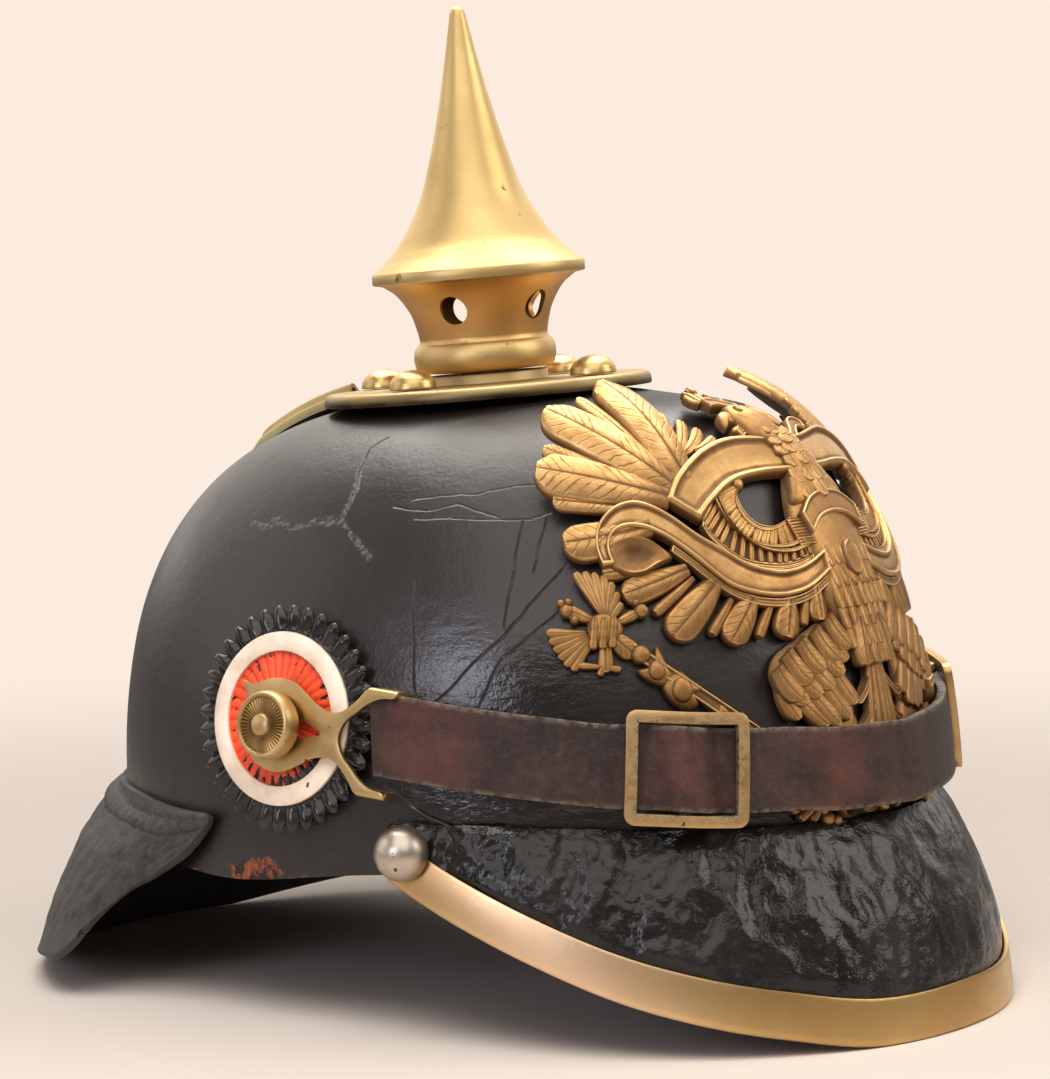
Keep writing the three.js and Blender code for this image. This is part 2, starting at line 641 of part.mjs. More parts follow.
// Front plate, drawn flat: across towards the wearer's right, up the wall, then the height of the relief.
{
  const prism = (points, height) => {
    const shape = new THREE.Shape();
    shape.setFromPoints(points.map(([x, y]) => new THREE.Vector2(x, y)));
    return toManifold(new THREE.ExtrudeGeometry(shape, { depth: height, bevelEnabled: false }));
  };
  const leaf = ([x0, y0], [x1, y1], width) => {
    const ux = x1 - x0;
    const uy = y1 - y0;
    const len = Math.hypot(ux, uy);
    const form = [[0, 0.32], [0.72, 0.5], [0.93, 0.36]];
    const side = (s) => form.map(([t, w]) => [
      x0 + ux * t - (uy / len) * w * width * s, y0 + uy * t + (ux / len) * w * width * s]);
    return [...side(1), [x1, y1], ...side(-1).reverse()];
  };
  const round = (x, y, rx, ry, n) => Array.from({ length: n }, (_, i) => {
    const a = (i * 2 * Math.PI) / n;
    return [x + rx * Math.cos(a), y + ry * Math.sin(a)];
  });

  // Long flight feathers: root, tip, width.
  const flights = [
    [[38, 82], [41, 115], 11], [[41, 82], [50.5, 116.5], 10.5], [[43, 80], [63, 109], 11.5],
    [[45, 79], [70.5, 100.5], 10], [[46, 78], [76, 87.5], 11.5], [[48, 76], [72.5, 78], 7.5],
    [[54, 71], [73, 68.6], 8.5],
  ];
  // Short feathers along the lower edge of the wing.
  const coverts = [
    [[58, 68], [65, 61.5], 6], [[55, 66], [62, 54.5], 8.5], [[48, 65], [57, 52.4], 8],
    [[43, 62], [53, 46], 9.5], [[38, 58], [43.6, 46.2], 8], [[34.6, 57], [38, 43.8], 8],
    [[29.4, 56], [31.2, 45.6], 7.6], [[23.8, 56], [25.2, 44.2], 7.6], [[18, 56], [19, 45.4], 7.4],
    [[13.4, 57], [13.4, 47.4], 6.6],
  ];
  const scroll = [[64, 74.6], [59, 77], [51.5, 75.8], [44, 71.4], [36.5, 65.2], [30, 61.4], [22.5, 59.2],
    [14, 59], [8, 60.4], [8.4, 55.6], [17.5, 53.2], [26.4, 52.6], [35, 54.6], [42.4, 59.6], [48.6, 66.4],
    [54.6, 69.4], [61, 69.4], [65, 66], [66.6, 69.4]];
  const inner = [[41.4, 72], [36, 65], [30, 61], [22.5, 58.6], [10, 59.4], [13.6, 70.6], [20, 69.6],
    [25.4, 69.2], [27.6, 72.6], [25, 76.4], [27.4, 82], [36, 79]];
  const thigh = [[32, 37.6], [29.4, 40.8], [22.6, 43.4], [16.4, 46.4], [10.4, 48], [7, 46], [7.6, 40],
    [9.4, 35], [8.4, 27], [12, 20], [18, 20.4], [23.8, 25.6], [27.6, 26], [29, 30], [32, 31.4]];
  const foot = [[18, 23], [9, 24], [7, 14], [2.6, 4.6], [5, 2.6], [10, 7.6], [14, 2], [17.6, 1.8],
    [18.4, 7.6], [24.6, 2.4], [27, 4], [23, 10.4], [30, 6.2], [32, 8.4], [24, 14.4]];
  const both = [];
  for (const sign of [1, -1]) {
    const turn = (points) => {
      const out = points.map(([x, y]) => [x * sign, y]);
      return sign < 0 ? out.reverse() : out;
    };
    flights.forEach(([root, tip, width], i) => {
      both.push([turn(leaf(root, tip, width)), 1.3 + 0.5 * (i % 2)]);
    });
    coverts.forEach(([root, tip, width], i) => {
      both.push([turn(leaf(root, tip, width)), 1.7 + 0.5 * (i % 2)]);
    });
    both.push([turn(scroll), 3.3]);
    both.push([turn(inner), 2.3]);
    both.push([turn(thigh), 3.1]);
    both.push([turn(foot), 2.4]);
    both.push([turn(leaf([33, 88], [27, 97], 5)), 2.1]);
  }
  const bandeau = [[48, 77], [43.6, 82.6], [35, 88.2], [25, 91.6], [15, 93], [0, 93.6]];
  const under = [[0, 81.8], [7.5, 81.4], [17.5, 81.4], [27.5, 80.4], [35, 77.2], [41.2, 71]];
  const wide = (points) => points.map(([x, y]) => [-x, y]).reverse();
  const pieces = [
    ...both,
    [[...bandeau.slice(0, 5), ...wide(bandeau), ...wide(under), ...under.slice(1)].reverse(), 2.9],
    // Neck and breast, a bare shield, the head with its beak, and the crown.
    [[[6.4, 98], [7, 84], [12, 75], [15, 69], [11.4, 58], [11.6, 50], [8, 42], [4.6, 36], [-4.6, 36],
      [-8, 42], [-11.6, 50], [-11.4, 58], [-15, 69], [-12, 75], [-7, 84], [-4.4, 98]], 4.1],
    [[[6, 68], [6.4, 60], [4, 54], [0, 51.4], [-4, 54], [-6.4, 60], [-6, 68], [0, 69.6]], 5],
    [[[6.4, 93], [7, 97.6], [12.6, 96.6], [13.4, 99.8], [10.6, 103.6], [5, 106], [-1, 105.2], [-5, 101.4],
      [-5.4, 93]], 4.2],
    [[[5.6, 104], [7.4, 110.6], [3.6, 109.4], [0.8, 113.6], [-2, 109.4], [-6, 110.4], [-4.4, 103.4]], 3.3],
    [[[4, 95], [10, 98.4], [15.8, 97.6], [17, 94.6], [12, 94.8], [5, 91]], 3.5],
    [[[-4, 95], [-9, 99], [-14, 97], [-14.4, 93.8], [-9, 94.6], [-4, 91]], 3.5],
    // Sceptre with a small winged head, and the orb on the other side.
    [leaf([20, 8.4], [65.6, 49.6], 3.4), 2.7],
    [round(61, 45.4, 3, 3, 8), 3.2],
    [round(54.4, 39.4, 3.2, 3.2, 8), 3],
    [[[63, 47], [70.6, 39.8], [79, 43.4], [80.2, 50], [74, 50.4], [75.6, 55.6], [72, 57.4], [71.4, 63],
      [66, 63.6], [63.6, 58], [59, 56.4], [57.6, 52.4], [63, 51.6]], 2.4],
    [round(-37, 27, 7.4, 7.4, 14), 3.3],
    [[[-35.4, 33], [-36, 37], [-33.6, 38.4], [-36, 39.8], [-36.4, 42.6], [-38.6, 42.6], [-38.6, 39.8],
      [-41, 38.4], [-38.6, 37], [-38.6, 33]].reverse(), 2.3],
    [leaf([-20, 12], [-38, 28], 4), 2.3],
  ];
  for (const [x, y, w] of [[-13, 15, 6.6], [-6.8, 11, 6.6], [0, 9, 7], [6.8, 11, 6.6], [13, 15, 6.6]]) {
    pieces.push([leaf([x * 0.18, 42], [x, y], w), 2 + 0.3 * (Math.abs(x) < 8) + 0.3 * (x === 0)]);
  }
  let plate = null;
  for (const [points, height] of pieces) {
    const piece = prism(points, height);
    plate = plate ? plate.add(piece) : piece;
  }
  const wrapped = bent(toGeometry(plate), 20, (x, y, height) => onSkull(
    PLATE_TURN + x / PLATE_PER_DEGREE, y, lerpTable(PLATE_STAND, Math.max(y, 0)) + height));
  add('eagle_plate', wrapped, 'gilt');
}

// The helmet leans back on its peaks, with its box centred over the origin and its foot on the floor.
helmet.rotation.x = -LEAN;
const group = new THREE.Group();
group.name = 'spiked_helmet';
group.add(helmet);
group.updateMatrixWorld(true);
const box = new THREE.Box3().setFromObject(helmet, true);
helmet.position.set(0, -(box.min.y + box.max.y) / 2, -box.min.z);
group.updateMatrixWorld(true);

export default group;
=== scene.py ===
import math
import bpy
import numpy as np
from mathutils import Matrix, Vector, noise


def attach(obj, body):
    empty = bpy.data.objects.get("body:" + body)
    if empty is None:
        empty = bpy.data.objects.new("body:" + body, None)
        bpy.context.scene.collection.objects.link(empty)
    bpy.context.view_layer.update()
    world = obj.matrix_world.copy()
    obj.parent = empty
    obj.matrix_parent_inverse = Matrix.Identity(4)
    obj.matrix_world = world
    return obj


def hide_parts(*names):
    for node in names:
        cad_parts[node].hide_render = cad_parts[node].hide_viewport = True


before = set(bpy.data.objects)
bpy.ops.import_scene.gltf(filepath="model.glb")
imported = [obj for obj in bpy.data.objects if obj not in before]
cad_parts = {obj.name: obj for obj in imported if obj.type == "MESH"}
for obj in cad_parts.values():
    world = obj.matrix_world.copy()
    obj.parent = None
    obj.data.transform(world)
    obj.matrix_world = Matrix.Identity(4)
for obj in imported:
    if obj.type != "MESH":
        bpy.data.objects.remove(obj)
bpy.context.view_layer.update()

# Camera and stage. The camera stands off the wearer's right front and looks a little down on a plain pale
# floor. Soft lamps over the camera and at the right light it all; a wide lamp above, pale walls behind and
# a small cool window at the left show as gloss, and the room around is pale.
bpy.ops.object.camera_add(location=(-0.9158, -0.6309, 0.2231), rotation=(1.46621, 0.01375, -0.97216))
camera = bpy.context.object
camera.name = "camera"
camera.data.lens = 153.5
camera.data.sensor_width = 36
bpy.context.scene.camera = camera
bpy.context.scene.view_settings.view_transform = "Standard"


def soft_lamp(name, place, aim, size, watts, colour, diffuse=True, glossy=True):
    bpy.ops.object.light_add(type="AREA", location=place)
    lamp = bpy.context.object
    lamp.name = name
    lamp.rotation_euler = (Vector(aim) - Vector(place)).to_track_quat("-Z", "Y").to_euler()
    lamp.data.size = size
    lamp.data.energy = watts
    lamp.data.color = colour
    lamp.visible_camera = False
    lamp.visible_diffuse = diffuse
    lamp.visible_glossy = glossy


soft_lamp("lamp_over", (0.42, 0.28, 1.25), (0, 0, 0.1), 1.15, 27, (1, 0.95, 0.88), diffuse=False)
soft_lamp("lamp_key", (-0.8, -0.45, 1.3), (0, 0, 0.05), 0.9, 19, (1, 0.95, 0.89), glossy=False)
soft_lamp("lamp_front", (-0.75, -0.5, 1.2), (0, 0, 0.1), 1.5, 12, (1, 0.95, 0.89))
soft_lamp("lamp_right", (0.45, -1.05, 0.75), (0, -0.15, 0.05), 0.8, 6.5, (1, 0.94, 0.87))
soft_lamp("wall_behind", (0.5, 1.05, 0.7), (0, 0, 0.1), 1.2, 5, (1, 0.93, 0.86), diffuse=False)
soft_lamp("wall_left", (-0.75, 1.2, 0.65), (0, 0, 0.15), 1.2, 4.4, (1, 0.94, 0.88), diffuse=False)
soft_lamp("wall_right", (1.2, 0.05, 0.75), (0, 0, 0.1), 1.2, 5, (1, 0.93, 0.86), diffuse=False)
soft_lamp("window_left", (-1.3, 0.02, 0.42), (0, 0, 0.1), 0.4, 3.4, (0.86, 0.85, 1))

room = bpy.data.worlds.new("pale_room")
bpy.context.scene.world = room
room.use_nodes = True
sky = room.node_tree
lit = sky.nodes["Background"]
lit.inputs["Color"].default_value = (0.95, 0.86, 0.78, 1)
lit.inputs["Strength"].default_value = 0.26
seen = sky.nodes.new("ShaderNodeBackground")
seen.inputs["Color"].default_value = (0.975, 0.838, 0.735, 1)
seen.inputs["Strength"].default_value = 1.0
path = sky.nodes.new("ShaderNodeLightPath")
choice = sky.nodes.new("ShaderNodeMixShader")
sky.links.new(path.outputs["Is Camera Ray"], choice.inputs[0])
sky.links.new(lit.outputs[0], choice.inputs[1])
sky.links.new(seen.outputs[0], choice.inputs[2])
sky.links.new(choice.outputs[0], sky.nodes["World Output"].inputs["Surface"])

bpy.ops.object.select_all(action="DESELECT")
bpy.ops.mesh.primitive_circle_add(vertices=96, radius=2.2, fill_type="NGON", location=(0, 0, -0.0002))
floor = bpy.context.object
floor.name = "floor"
cloth = bpy.data.materials.new("pale_floor")
cloth.use_nodes = True
weave = cloth.node_tree
pale = weave.nodes["Principled BSDF"]
pale.inputs["Base Color"].default_value = (0.66, 0.597, 0.552, 1)
pale.inputs["Roughness"].default_value = 0.9
pale.inputs["Specular IOR Level"].default_value = 0.1
away = weave.nodes.new("ShaderNodeVectorMath")
away.operation = "LENGTH"
weave.links.new(weave.nodes.new("ShaderNodeTexCoord").outputs["Object"], away.inputs[0])
fade = weave.nodes.new("ShaderNodeMapRange")
fade.interpolation_type = "SMOOTHSTEP"
fade.inputs["From Min"].default_value = 0.18
fade.inputs["From Max"].default_value = 0.6
fade.inputs["To Min"].default_value = 1.0
fade.inputs["To Max"].default_value = 0.0
weave.links.new(away.outputs["Value"], fade.inputs["Value"])
weave.links.new(fade.outputs[0], pale.inputs["Alpha"])
floor.data.materials.append(cloth)

# Skull. A dome of thick leather, pressed wet over a block, lacquered black outside and left raw
# inside and at the cut rim; the lacquer has cracked in long lines and is scuffed at the sides.
LEAN = math.radians(4.7)
SET_DOWN = (0, -0.0060627, -0.0038869)
HALF_LENGTH, HALF_WIDTH = 103.0, 83.5
FOOT, CROWN = 43.0, 147.0
RIM_SIDE, RIM_FALL = 42.0, 4.0
SKULL_WALL = 2.2
CROWN_VENT = 11.0
RIM_DIP, RIM_DIP_ANGLE, RIM_DIP_SPREAD = 3.4, 106, 17
MEAN_HALF = 95
UNDER_PLATE_SWELL = 4.2
SHINE_ANGLE, SHINE_ARC, SHINE_SPREAD = 62, 42, 15
TORN_PATCHES = ((1.1, 101, 5, 2.2, 4.6), (0.7, 113, 3, 0, 2.2), (0.46, 90, 8, 1.2, 1.5))
TORN_RIM = 0.22


def wall_share(z):
    high = np.clip((np.asarray(z, float) - FOOT) / (CROWN - FOOT), 0, 1)
    return np.cbrt(np.maximum(1 - high ** 2.5, 0))


def meridian_table(steps):
    z = FOOT + (CROWN - FOOT) * (np.arange(steps + 1) / steps) ** 0.8
    share = wall_share(z)
    arc = np.concatenate([[0], np.cumsum(np.hypot(MEAN_HALF * np.diff(share), np.diff(z)))])
    run_share, run_z = np.gradient(MEAN_HALF * share), np.gradient(z)
    length = np.hypot(run_share, run_z)
    return arc, share, z, run_z / length, -run_share / length


ARC, ARC_SHARE, ARC_Z, ARC_OUT, ARC_UP = meridian_table(2400)


def on_skull(angle, arc, stand):
    """Points on the skull: degrees from the front to the wearer's right, arc up the wall, stand-off."""
    arc = np.asarray(arc, float)
    turn = np.radians(np.asarray(angle, float))
    share = np.interp(arc, ARC, ARC_SHARE)
    z = np.where(arc < 0, FOOT + arc, np.interp(arc, ARC, ARC_Z))
    out, up = np.interp(arc, ARC, ARC_OUT), np.interp(arc, ARC, ARC_UP)
    nx, ny = -np.sin(turn) / HALF_WIDTH, -np.cos(turn) / HALF_LENGTH
    flat = np.hypot(nx, ny)
    return np.stack(np.broadcast_arrays(
        -HALF_WIDTH * share * np.sin(turn) + nx / flat * out * stand,
        -HALF_LENGTH * share * np.cos(turn) + ny / flat * out * stand,
        z + up * stand), axis=-1)


def points_of(piece):
    place = np.zeros(len(piece.data.vertices) * 3)
    piece.data.vertices.foreach_get("co", place)
    return place.reshape(-1, 3)


def sheet_of(name, columns, rows):
    """A flat grid to be shaped, with each corner's place across and along, from 0 to 1."""
    bpy.ops.object.select_all(action="DESELECT")
    bpy.ops.mesh.primitive_grid_add(x_subdivisions=columns, y_subdivisions=rows, size=2)
    piece = bpy.context.object
    piece.name = name
    place = points_of(piece)
    return piece, (place[:, 0] + 1) / 2, (place[:, 1] + 1) / 2


def shape(piece, points):
    piece.data.vertices.foreach_set("co", np.asarray(points, float).ravel())
    piece.data.update()


def take(piece):
    """Selects one piece alone and makes it the active one."""
    bpy.ops.object.select_all(action="DESELECT")
    bpy.context.view_layer.objects.active = piece
    piece.select_set(True)


def edit(piece, *steps):
    """Runs edit-mode operators on the whole of a piece."""
    take(piece)
    bpy.ops.object.mode_set(mode="EDIT")
    bpy.ops.mesh.select_all(action="SELECT")
    for step in steps:
        step()
    bpy.ops.object.mode_set(mode="OBJECT")


def weld(piece, reach=0.01):
    edit(piece, lambda: bpy.ops.mesh.remove_doubles(threshold=reach))


def finish_with(piece, kind, **settings):
    """Adds a modifier with its settings and applies it."""
    take(piece)
    made = piece.modifiers.new(kind.lower(), kind)
    for key, value in settings.items():
        setattr(made, key, value)
    bpy.ops.object.modifier_apply(modifier=made.name)


def note(piece, name, values):
    """Keeps a value at each point of a piece, for its finish to read."""
    piece.data.attributes.new(name, "FLOAT", "POINT").data.foreach_set("value", values)


def set_down(piece, slot, *nodes, smooth=40):
    """Leans back a piece that was modelled upright in millimetres, to stand on the peaks, in metres."""
    take(piece)
    piece.scale = (0.001, 0.001, 0.001)
    piece.rotation_euler = (-LEAN, 0, 0)
    piece.location = SET_DOWN
    bpy.ops.object.transform_apply(location=True, rotation=True, scale=True)
    bpy.ops.object.shade_smooth_by_angle(angle=math.radians(smooth))
    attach(piece, "root")
    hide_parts(*nodes)
    return piece


def node(tree, kind, feeds=None, **settings):
    """Adds a node, sets its own settings and feeds its sockets with values or with other sockets."""
    made = tree.nodes.new(kind)
    for key, value in settings.items():
        setattr(made, key, value)
    for key, value in (feeds or {}).items():
        if isinstance(value, bpy.types.NodeSocket):
            tree.links.new(value, made.inputs[key])
        else:
            made.inputs[key].default_value = value
    return made


def maths(tree, operation, *values):
    return node(tree, "ShaderNodeMath", dict(enumerate(values)), operation=operation).outputs[0]


def vectors(tree, operation, first, second):
    return node(tree, "ShaderNodeVectorMath", {0: first, 1: second}, operation=operation).outputs[0]


def spot_of(tree):
    return tree.nodes.new("ShaderNodeTexCoord").outputs["Object"]


def noted(tree, name):
    return node(tree, "ShaderNodeAttribute", attribute_name=name).outputs["Fac"]


def blended(tree, share, under, over):
    return node(tree, "ShaderNodeMix", {0: share, 6: under, 7: over}, data_type="RGBA").outputs[2]


def between(tree, value, low, high, to_low=0.0, to_high=1.0):
    return node(tree, "ShaderNodeMapRange", {0: value, 1: low, 2: high, 3: to_low, 4: to_high}).outputs[0]


def noise_of(tree, spot, scale, detail=3.0, rough=0.55):
    return node(tree, "ShaderNodeTexNoise", {"Vector": spot, "Scale": scale, "Detail": detail,
                                             "Roughness": rough}).outputs[0]


def new_finish(name):
    finish = bpy.data.materials.new(name)
    finish.use_nodes = True
    return finish, finish.node_tree, finish.node_tree.nodes["Principled BSDF"]


def relief(tree, surface, height, strength, distance):
    bump = node(tree, "ShaderNodeBump", {"Height": height, "Strength": strength, "Distance": distance})
    tree.links.new(bump.outputs[0], surface.inputs["Normal"])


def new_effect(name, values, results, places=()):
    """An empty node group with its named inputs and outputs."""
    group = bpy.data.node_groups.new(name, "ShaderNodeTree")
    for title in places:
        group.interface.new_socket(name=title, in_out="INPUT", socket_type="NodeSocketVector")
    for title, start in values:
        socket = group.interface.new_socket(name=title, in_out="INPUT", socket_type="NodeSocketFloat")
        socket.default_value = start
    for title in results:
        group.interface.new_socket(name=title, in_out="OUTPUT", socket_type="NodeSocketFloat")
    return group, group.nodes.new("NodeGroupInput"), group.nodes.new("NodeGroupOutput")


def leather_skin():
    """Leather under lacquer: pores and creases as a height, and broad patches."""
    sizes = (("Pores", 900.0), ("Creases", 130.0), ("Patches", 18.0))
    group, given, result = new_effect("leather_skin", sizes, ("Height", "Patch"))
    spot = spot_of(group)
    pores = noise_of(group, spot, given.outputs["Pores"], 3.0, 0.6)
    creases = noise_of(group, spot, given.outputs["Creases"], 5.0, 0.62)
    height = maths(group, "ADD", maths(group, "MULTIPLY", pores, 0.3), creases)
    patches = noise_of(group, spot, given.outputs["Patches"], 4.0, 0.6)
    group.links.new(height, result.inputs["Height"])
    group.links.new(between(group, patches, 0.35, 0.68), result.inputs["Patch"])
    return group


def scored_line():
    """A mask along one straight cut over the curved leather: where a plane through the cut meets it."""
    sizes = (("Half", 0.01), ("Width", 0.0004))
    group, given, result = new_effect("scored_line", sizes, ("Mask",),
                                      ("Spot", "Middle", "Along", "Across", "Out"))
    off = vectors(group, "SUBTRACT", given.outputs["Spot"], given.outputs["Middle"])
    run, gap, out = (node(group, "ShaderNodeVectorMath", {0: off, 1: given.outputs[name]},
                          operation="DOT_PRODUCT").outputs["Value"] for name in ("Along", "Across", "Out"))
    near = maths(group, "DIVIDE", maths(group, "ABSOLUTE", gap), given.outputs["Width"])
    near = between(group, near, 0.35, 1.0, 1.0, 0.0)
    reach = maths(group, "DIVIDE", maths(group, "ABSOLUTE", run), given.outputs["Half"])
    within = between(group, reach, 0.9, 1.08, 1.0, 0.0)
    outside = maths(group, "GREATER_THAN", out, -0.03)
    mask = maths(group, "MULTIPLY", maths(group, "MULTIPLY", near, within), outside)
    group.links.new(mask, result.inputs["Mask"])
    return group


LEATHER_SKIN = leather_skin()
SCORED_LINE = scored_line()


def leather(tree, pores, creases, patches):
    sizes = {"Pores": pores, "Creases": creases, "Patches": patches}
    return node(tree, "ShaderNodeGroup", sizes, node_tree=LEATHER_SKIN)


SKULL_CRACKS = (((74, 64.5), (74, 38.5)), ((56.5, 79), (59, 66.5), (61, 52.5)),
                ((52.5, 79.5), (56, 65.5)), ((74.5, 81.5), (65, 80.4), (55, 79), (51.5, 80.5)),
                ((79, 85), (72.5, 83.5), (67, 84.5), (60.5, 80.5)), ((75.5, 87), (65, 87.5), (53.5, 89)),
                ((51, 66.5), (61.5, 51), (71.5, 36.5)), ((53, 55.5), (61.5, 46.5), (65.5, 35)),
                ((86.5, 111), (89.5, 106), (88, 92.5)), ((79, 18), (73, 11), (67.5, 6.5), (58.5, 5)),
                ((-58, 76), (-62, 58), (-70, 40)), ((-78, 84), (-66, 80), (-54, 83)),
                ((-50, 60), (-58, 44)), ((140, 70), (146, 52)), ((-128, 90), (-140, 78)))
SKULL_SCUFFS = (((110, 82), (95, 81.5), (88.5, 81.5), (81.5, 71.5)), ((88.5, 81.5), (87.5, 91), (89, 104)))


def leaned(vector):
    """A direction of the upright helmet, turned as the helmet leans back on its peaks."""
    x, y, z = vector
    return np.array([x, y * math.cos(LEAN) + z * math.sin(LEAN), z * math.cos(LEAN) - y * math.sin(LEAN)])


def scored(tree, spot, lines, width):
    """One mask for all the cuts along some lines of angle and arc on the skull."""
    mask = 0.0
    for line in lines:
        for (a0, m0), (a1, m1) in zip(line, line[1:]):
            start, end = on_skull(a0, m0, 0), on_skull(a1, m1, 0)
            middle = on_skull((a0 + a1) / 2, (m0 + m1) / 2, 0)
            out = leaned(on_skull((a0 + a1) / 2, (m0 + m1) / 2, 1) - middle)
            run = leaned(end - start)
            along = run / np.linalg.norm(run)
            feeds = {"Spot": spot, "Middle": leaned(middle) / 1000 + np.array(SET_DOWN), "Along": along,
                     "Across": np.cross(along, out), "Out": out,
                     "Half": float(np.linalg.norm(run)) / 2000, "Width": width}
            cut = node(tree, "ShaderNodeGroup", feeds, node_tree=SCORED_LINE)
            mask = maths(tree, "MAXIMUM", mask, cut.outputs["Mask"])
    return mask


def raw_leather(name):
    """Bare flesh side: rust brown, fibrous and dull."""
    finish, tree, surface = new_finish(name)
    spot = spot_of(tree)
    fibres = noise_of(tree, spot, 420.0, 5.0, 0.7)
    stain = noise_of(tree, spot, 45.0, 4.0)
    hue = blended(tree, between(tree, stain, 0.35, 0.65), (0.028, 0.016, 0.011, 1), (0.12, 0.045, 0.02, 1))
    tree.links.new(hue, surface.inputs["Base Color"])
    tree.links.new(between(tree, fibres, 0.3, 0.7, 0.7, 0.95), surface.inputs["Roughness"])
    relief(tree, surface, fibres, 0.6, 0.0006)
    return finish


def skull_lacquer():
    """Black lacquer, dull over the crown, wet-looking where "shine" is set, worn bare where "torn" is."""
    finish, tree, surface = new_finish("skull_lacquer")
    spot = spot_of(tree)
    stir = node(tree, "ShaderNodeTexNoise", {"Vector": spot, "Scale": 120.0, "Detail": 4.0}).outputs[1]
    stir = vectors(tree, "ADD", stir, (-0.5, -0.5, -0.5))
    little = vectors(tree, "MULTIPLY", stir, (0.002,) * 3)
    much = vectors(tree, "MULTIPLY", stir, (0.006,) * 3)
    bent = vectors(tree, "ADD", spot, little)
    ragged = vectors(tree, "ADD", spot, much)
    flecks = noise_of(tree, spot, 900.0, 3.0, 0.7)
    cracks = maths(tree, "MULTIPLY", scored(tree, bent, SKULL_CRACKS, 0.0004),
                   between(tree, noise_of(tree, spot, 240.0), 0.3, 0.5, 0.35, 1.0))
    scuff = maths(tree, "MULTIPLY", scored(tree, ragged, SKULL_SCUFFS, 0.0012),
                  between(tree, flecks, 0.45, 0.62))
    shine = noted(tree, "shine")
    torn = noted(tree, "torn")
    ragged_edge = maths(tree, "MULTIPLY", noise_of(tree, spot, 190.0, 5.0, 0.7), 1.8)
    bare = between(tree, maths(tree, "ADD", torn, ragged_edge), 1.5, 1.6)
    hole = between(tree, noise_of(tree, ragged, 260.0, 3.0, 0.6), 0.5, 0.58)
    skin = leather(tree, 1100.0, 150.0, 16.0)
    wrinkles = noise_of(tree, vectors(tree, "MULTIPLY", bent, (70.0, 70.0, 190.0)), 1.0, 5.0, 0.6)
    hue = blended(tree, skin.outputs["Patch"], (0.0055, 0.0036, 0.003, 1), (0.014, 0.0088, 0.007, 1))
    hue = blended(tree, maths(tree, "MULTIPLY", cracks, 0.9), hue, (0.0008, 0.0007, 0.0007, 1))
    hue = blended(tree, scuff, hue, (0.11, 0.092, 0.077, 1))
    rust = blended(tree, between(tree, flecks, 0.35, 0.65), (0.06, 0.017, 0.008, 1), (0.3, 0.075, 0.026, 1))
    rust = blended(tree, hole, rust, (0.012, 0.007, 0.005, 1))
    tree.links.new(blended(tree, bare, hue, rust), surface.inputs["Base Color"])
    surface.inputs["Specular IOR Level"].default_value = 0.62
    dull = between(tree, skin.outputs["Patch"], 0, 1, 0.32, 0.44)
    dull = maths(tree, "SUBTRACT", dull, maths(tree, "MULTIPLY", shine, 0.17))
    dull = maths(tree, "MAXIMUM", dull, maths(tree, "MULTIPLY", maths(tree, "MAXIMUM", bare, scuff), 0.9))
    tree.links.new(maths(tree, "MAXIMUM", dull, maths(tree, "MULTIPLY", cracks, 0.7)),
                   surface.inputs["Roughness"])
    height = maths(tree, "ADD", maths(tree, "MULTIPLY", skin.outputs["Height"], 0.9),
                   maths(tree, "MULTIPLY", wrinkles, between(tree, shine, 0, 1, 0.25, 2.0)))
    height = maths(tree, "SUBTRACT", height, maths(tree, "MULTIPLY", cracks, 1.2))
    height = maths(tree, "ADD", height, maths(tree, "MULTIPLY", maths(tree, "ADD", bare, scuff), flecks))
    relief(tree, surface, height, 0.4, 0.0006)
    return finish


def ramp(value, low, high):
    t = np.clip((value - low) / (high - low), 0, 1)
    return t * t * (3 - 2 * t)


def uneven(points, size):
    """Soft unevenness of a given size over some points, from about -1 to 1."""
    return np.array([noise.noise(Vector(p) / size) for p in points])


shell, across, up = sheet_of("skull_shell", 256, 84)
angle = 180 - 360 * across
start = RIM_SIDE - RIM_FALL * np.cos(np.radians(angle)) - FOOT
start -= RIM_DIP * np.exp(-((np.abs(angle) - RIM_DIP_ANGLE) / RIM_DIP_SPREAD) ** 2)
arc = start + (ARC[-1] - CROWN_VENT - start) * up
place = on_skull(angle, arc, 0)
waves = uneven(place, 34) * 0.22 + uneven(place, 11) * 0.07
full = UNDER_PLATE_SWELL * np.exp(-(angle / 40) ** 4) * ramp(arc, 66, 88) * ramp(126 - arc, 0, 28)
shape(shell, on_skull(angle, arc, waves + full))
aside, above = (np.abs(angle) - SHINE_ANGLE) / SHINE_SPREAD, (arc - SHINE_ARC) / SHINE_SPREAD
shine = np.exp(-aside ** 2 - above ** 2)
shine += np.clip((80 - np.abs(angle)) / 8, 0, 1) * np.clip((24 - arc) / 6, 0, 1)
note(shell, "shine", np.clip(shine, 0, 1))
height = arc - start
torn = np.zeros_like(height)
for strength, at, wide, over, tall in TORN_PATCHES:
    torn += strength * np.exp(-((angle - at) / wide) ** 2 - ((height - over) / tall) ** 2)
torn += TORN_RIM * np.exp(-(height / 1.1) ** 2) * ramp(angle, 82, 88) * ramp(124 - angle, 0, 6)
note(shell, "torn", np.clip(torn, 0, 1))
weld(shell)
shell.data.materials.append(skull_lacquer())
shell.data.materials.append(raw_leather("raw_leather"))
finish_with(shell, "SOLIDIFY", thickness=SKULL_WALL, offset=-1, material_offset=1, material_offset_rim=1)
set_down(shell, "skull_leather", "shell")

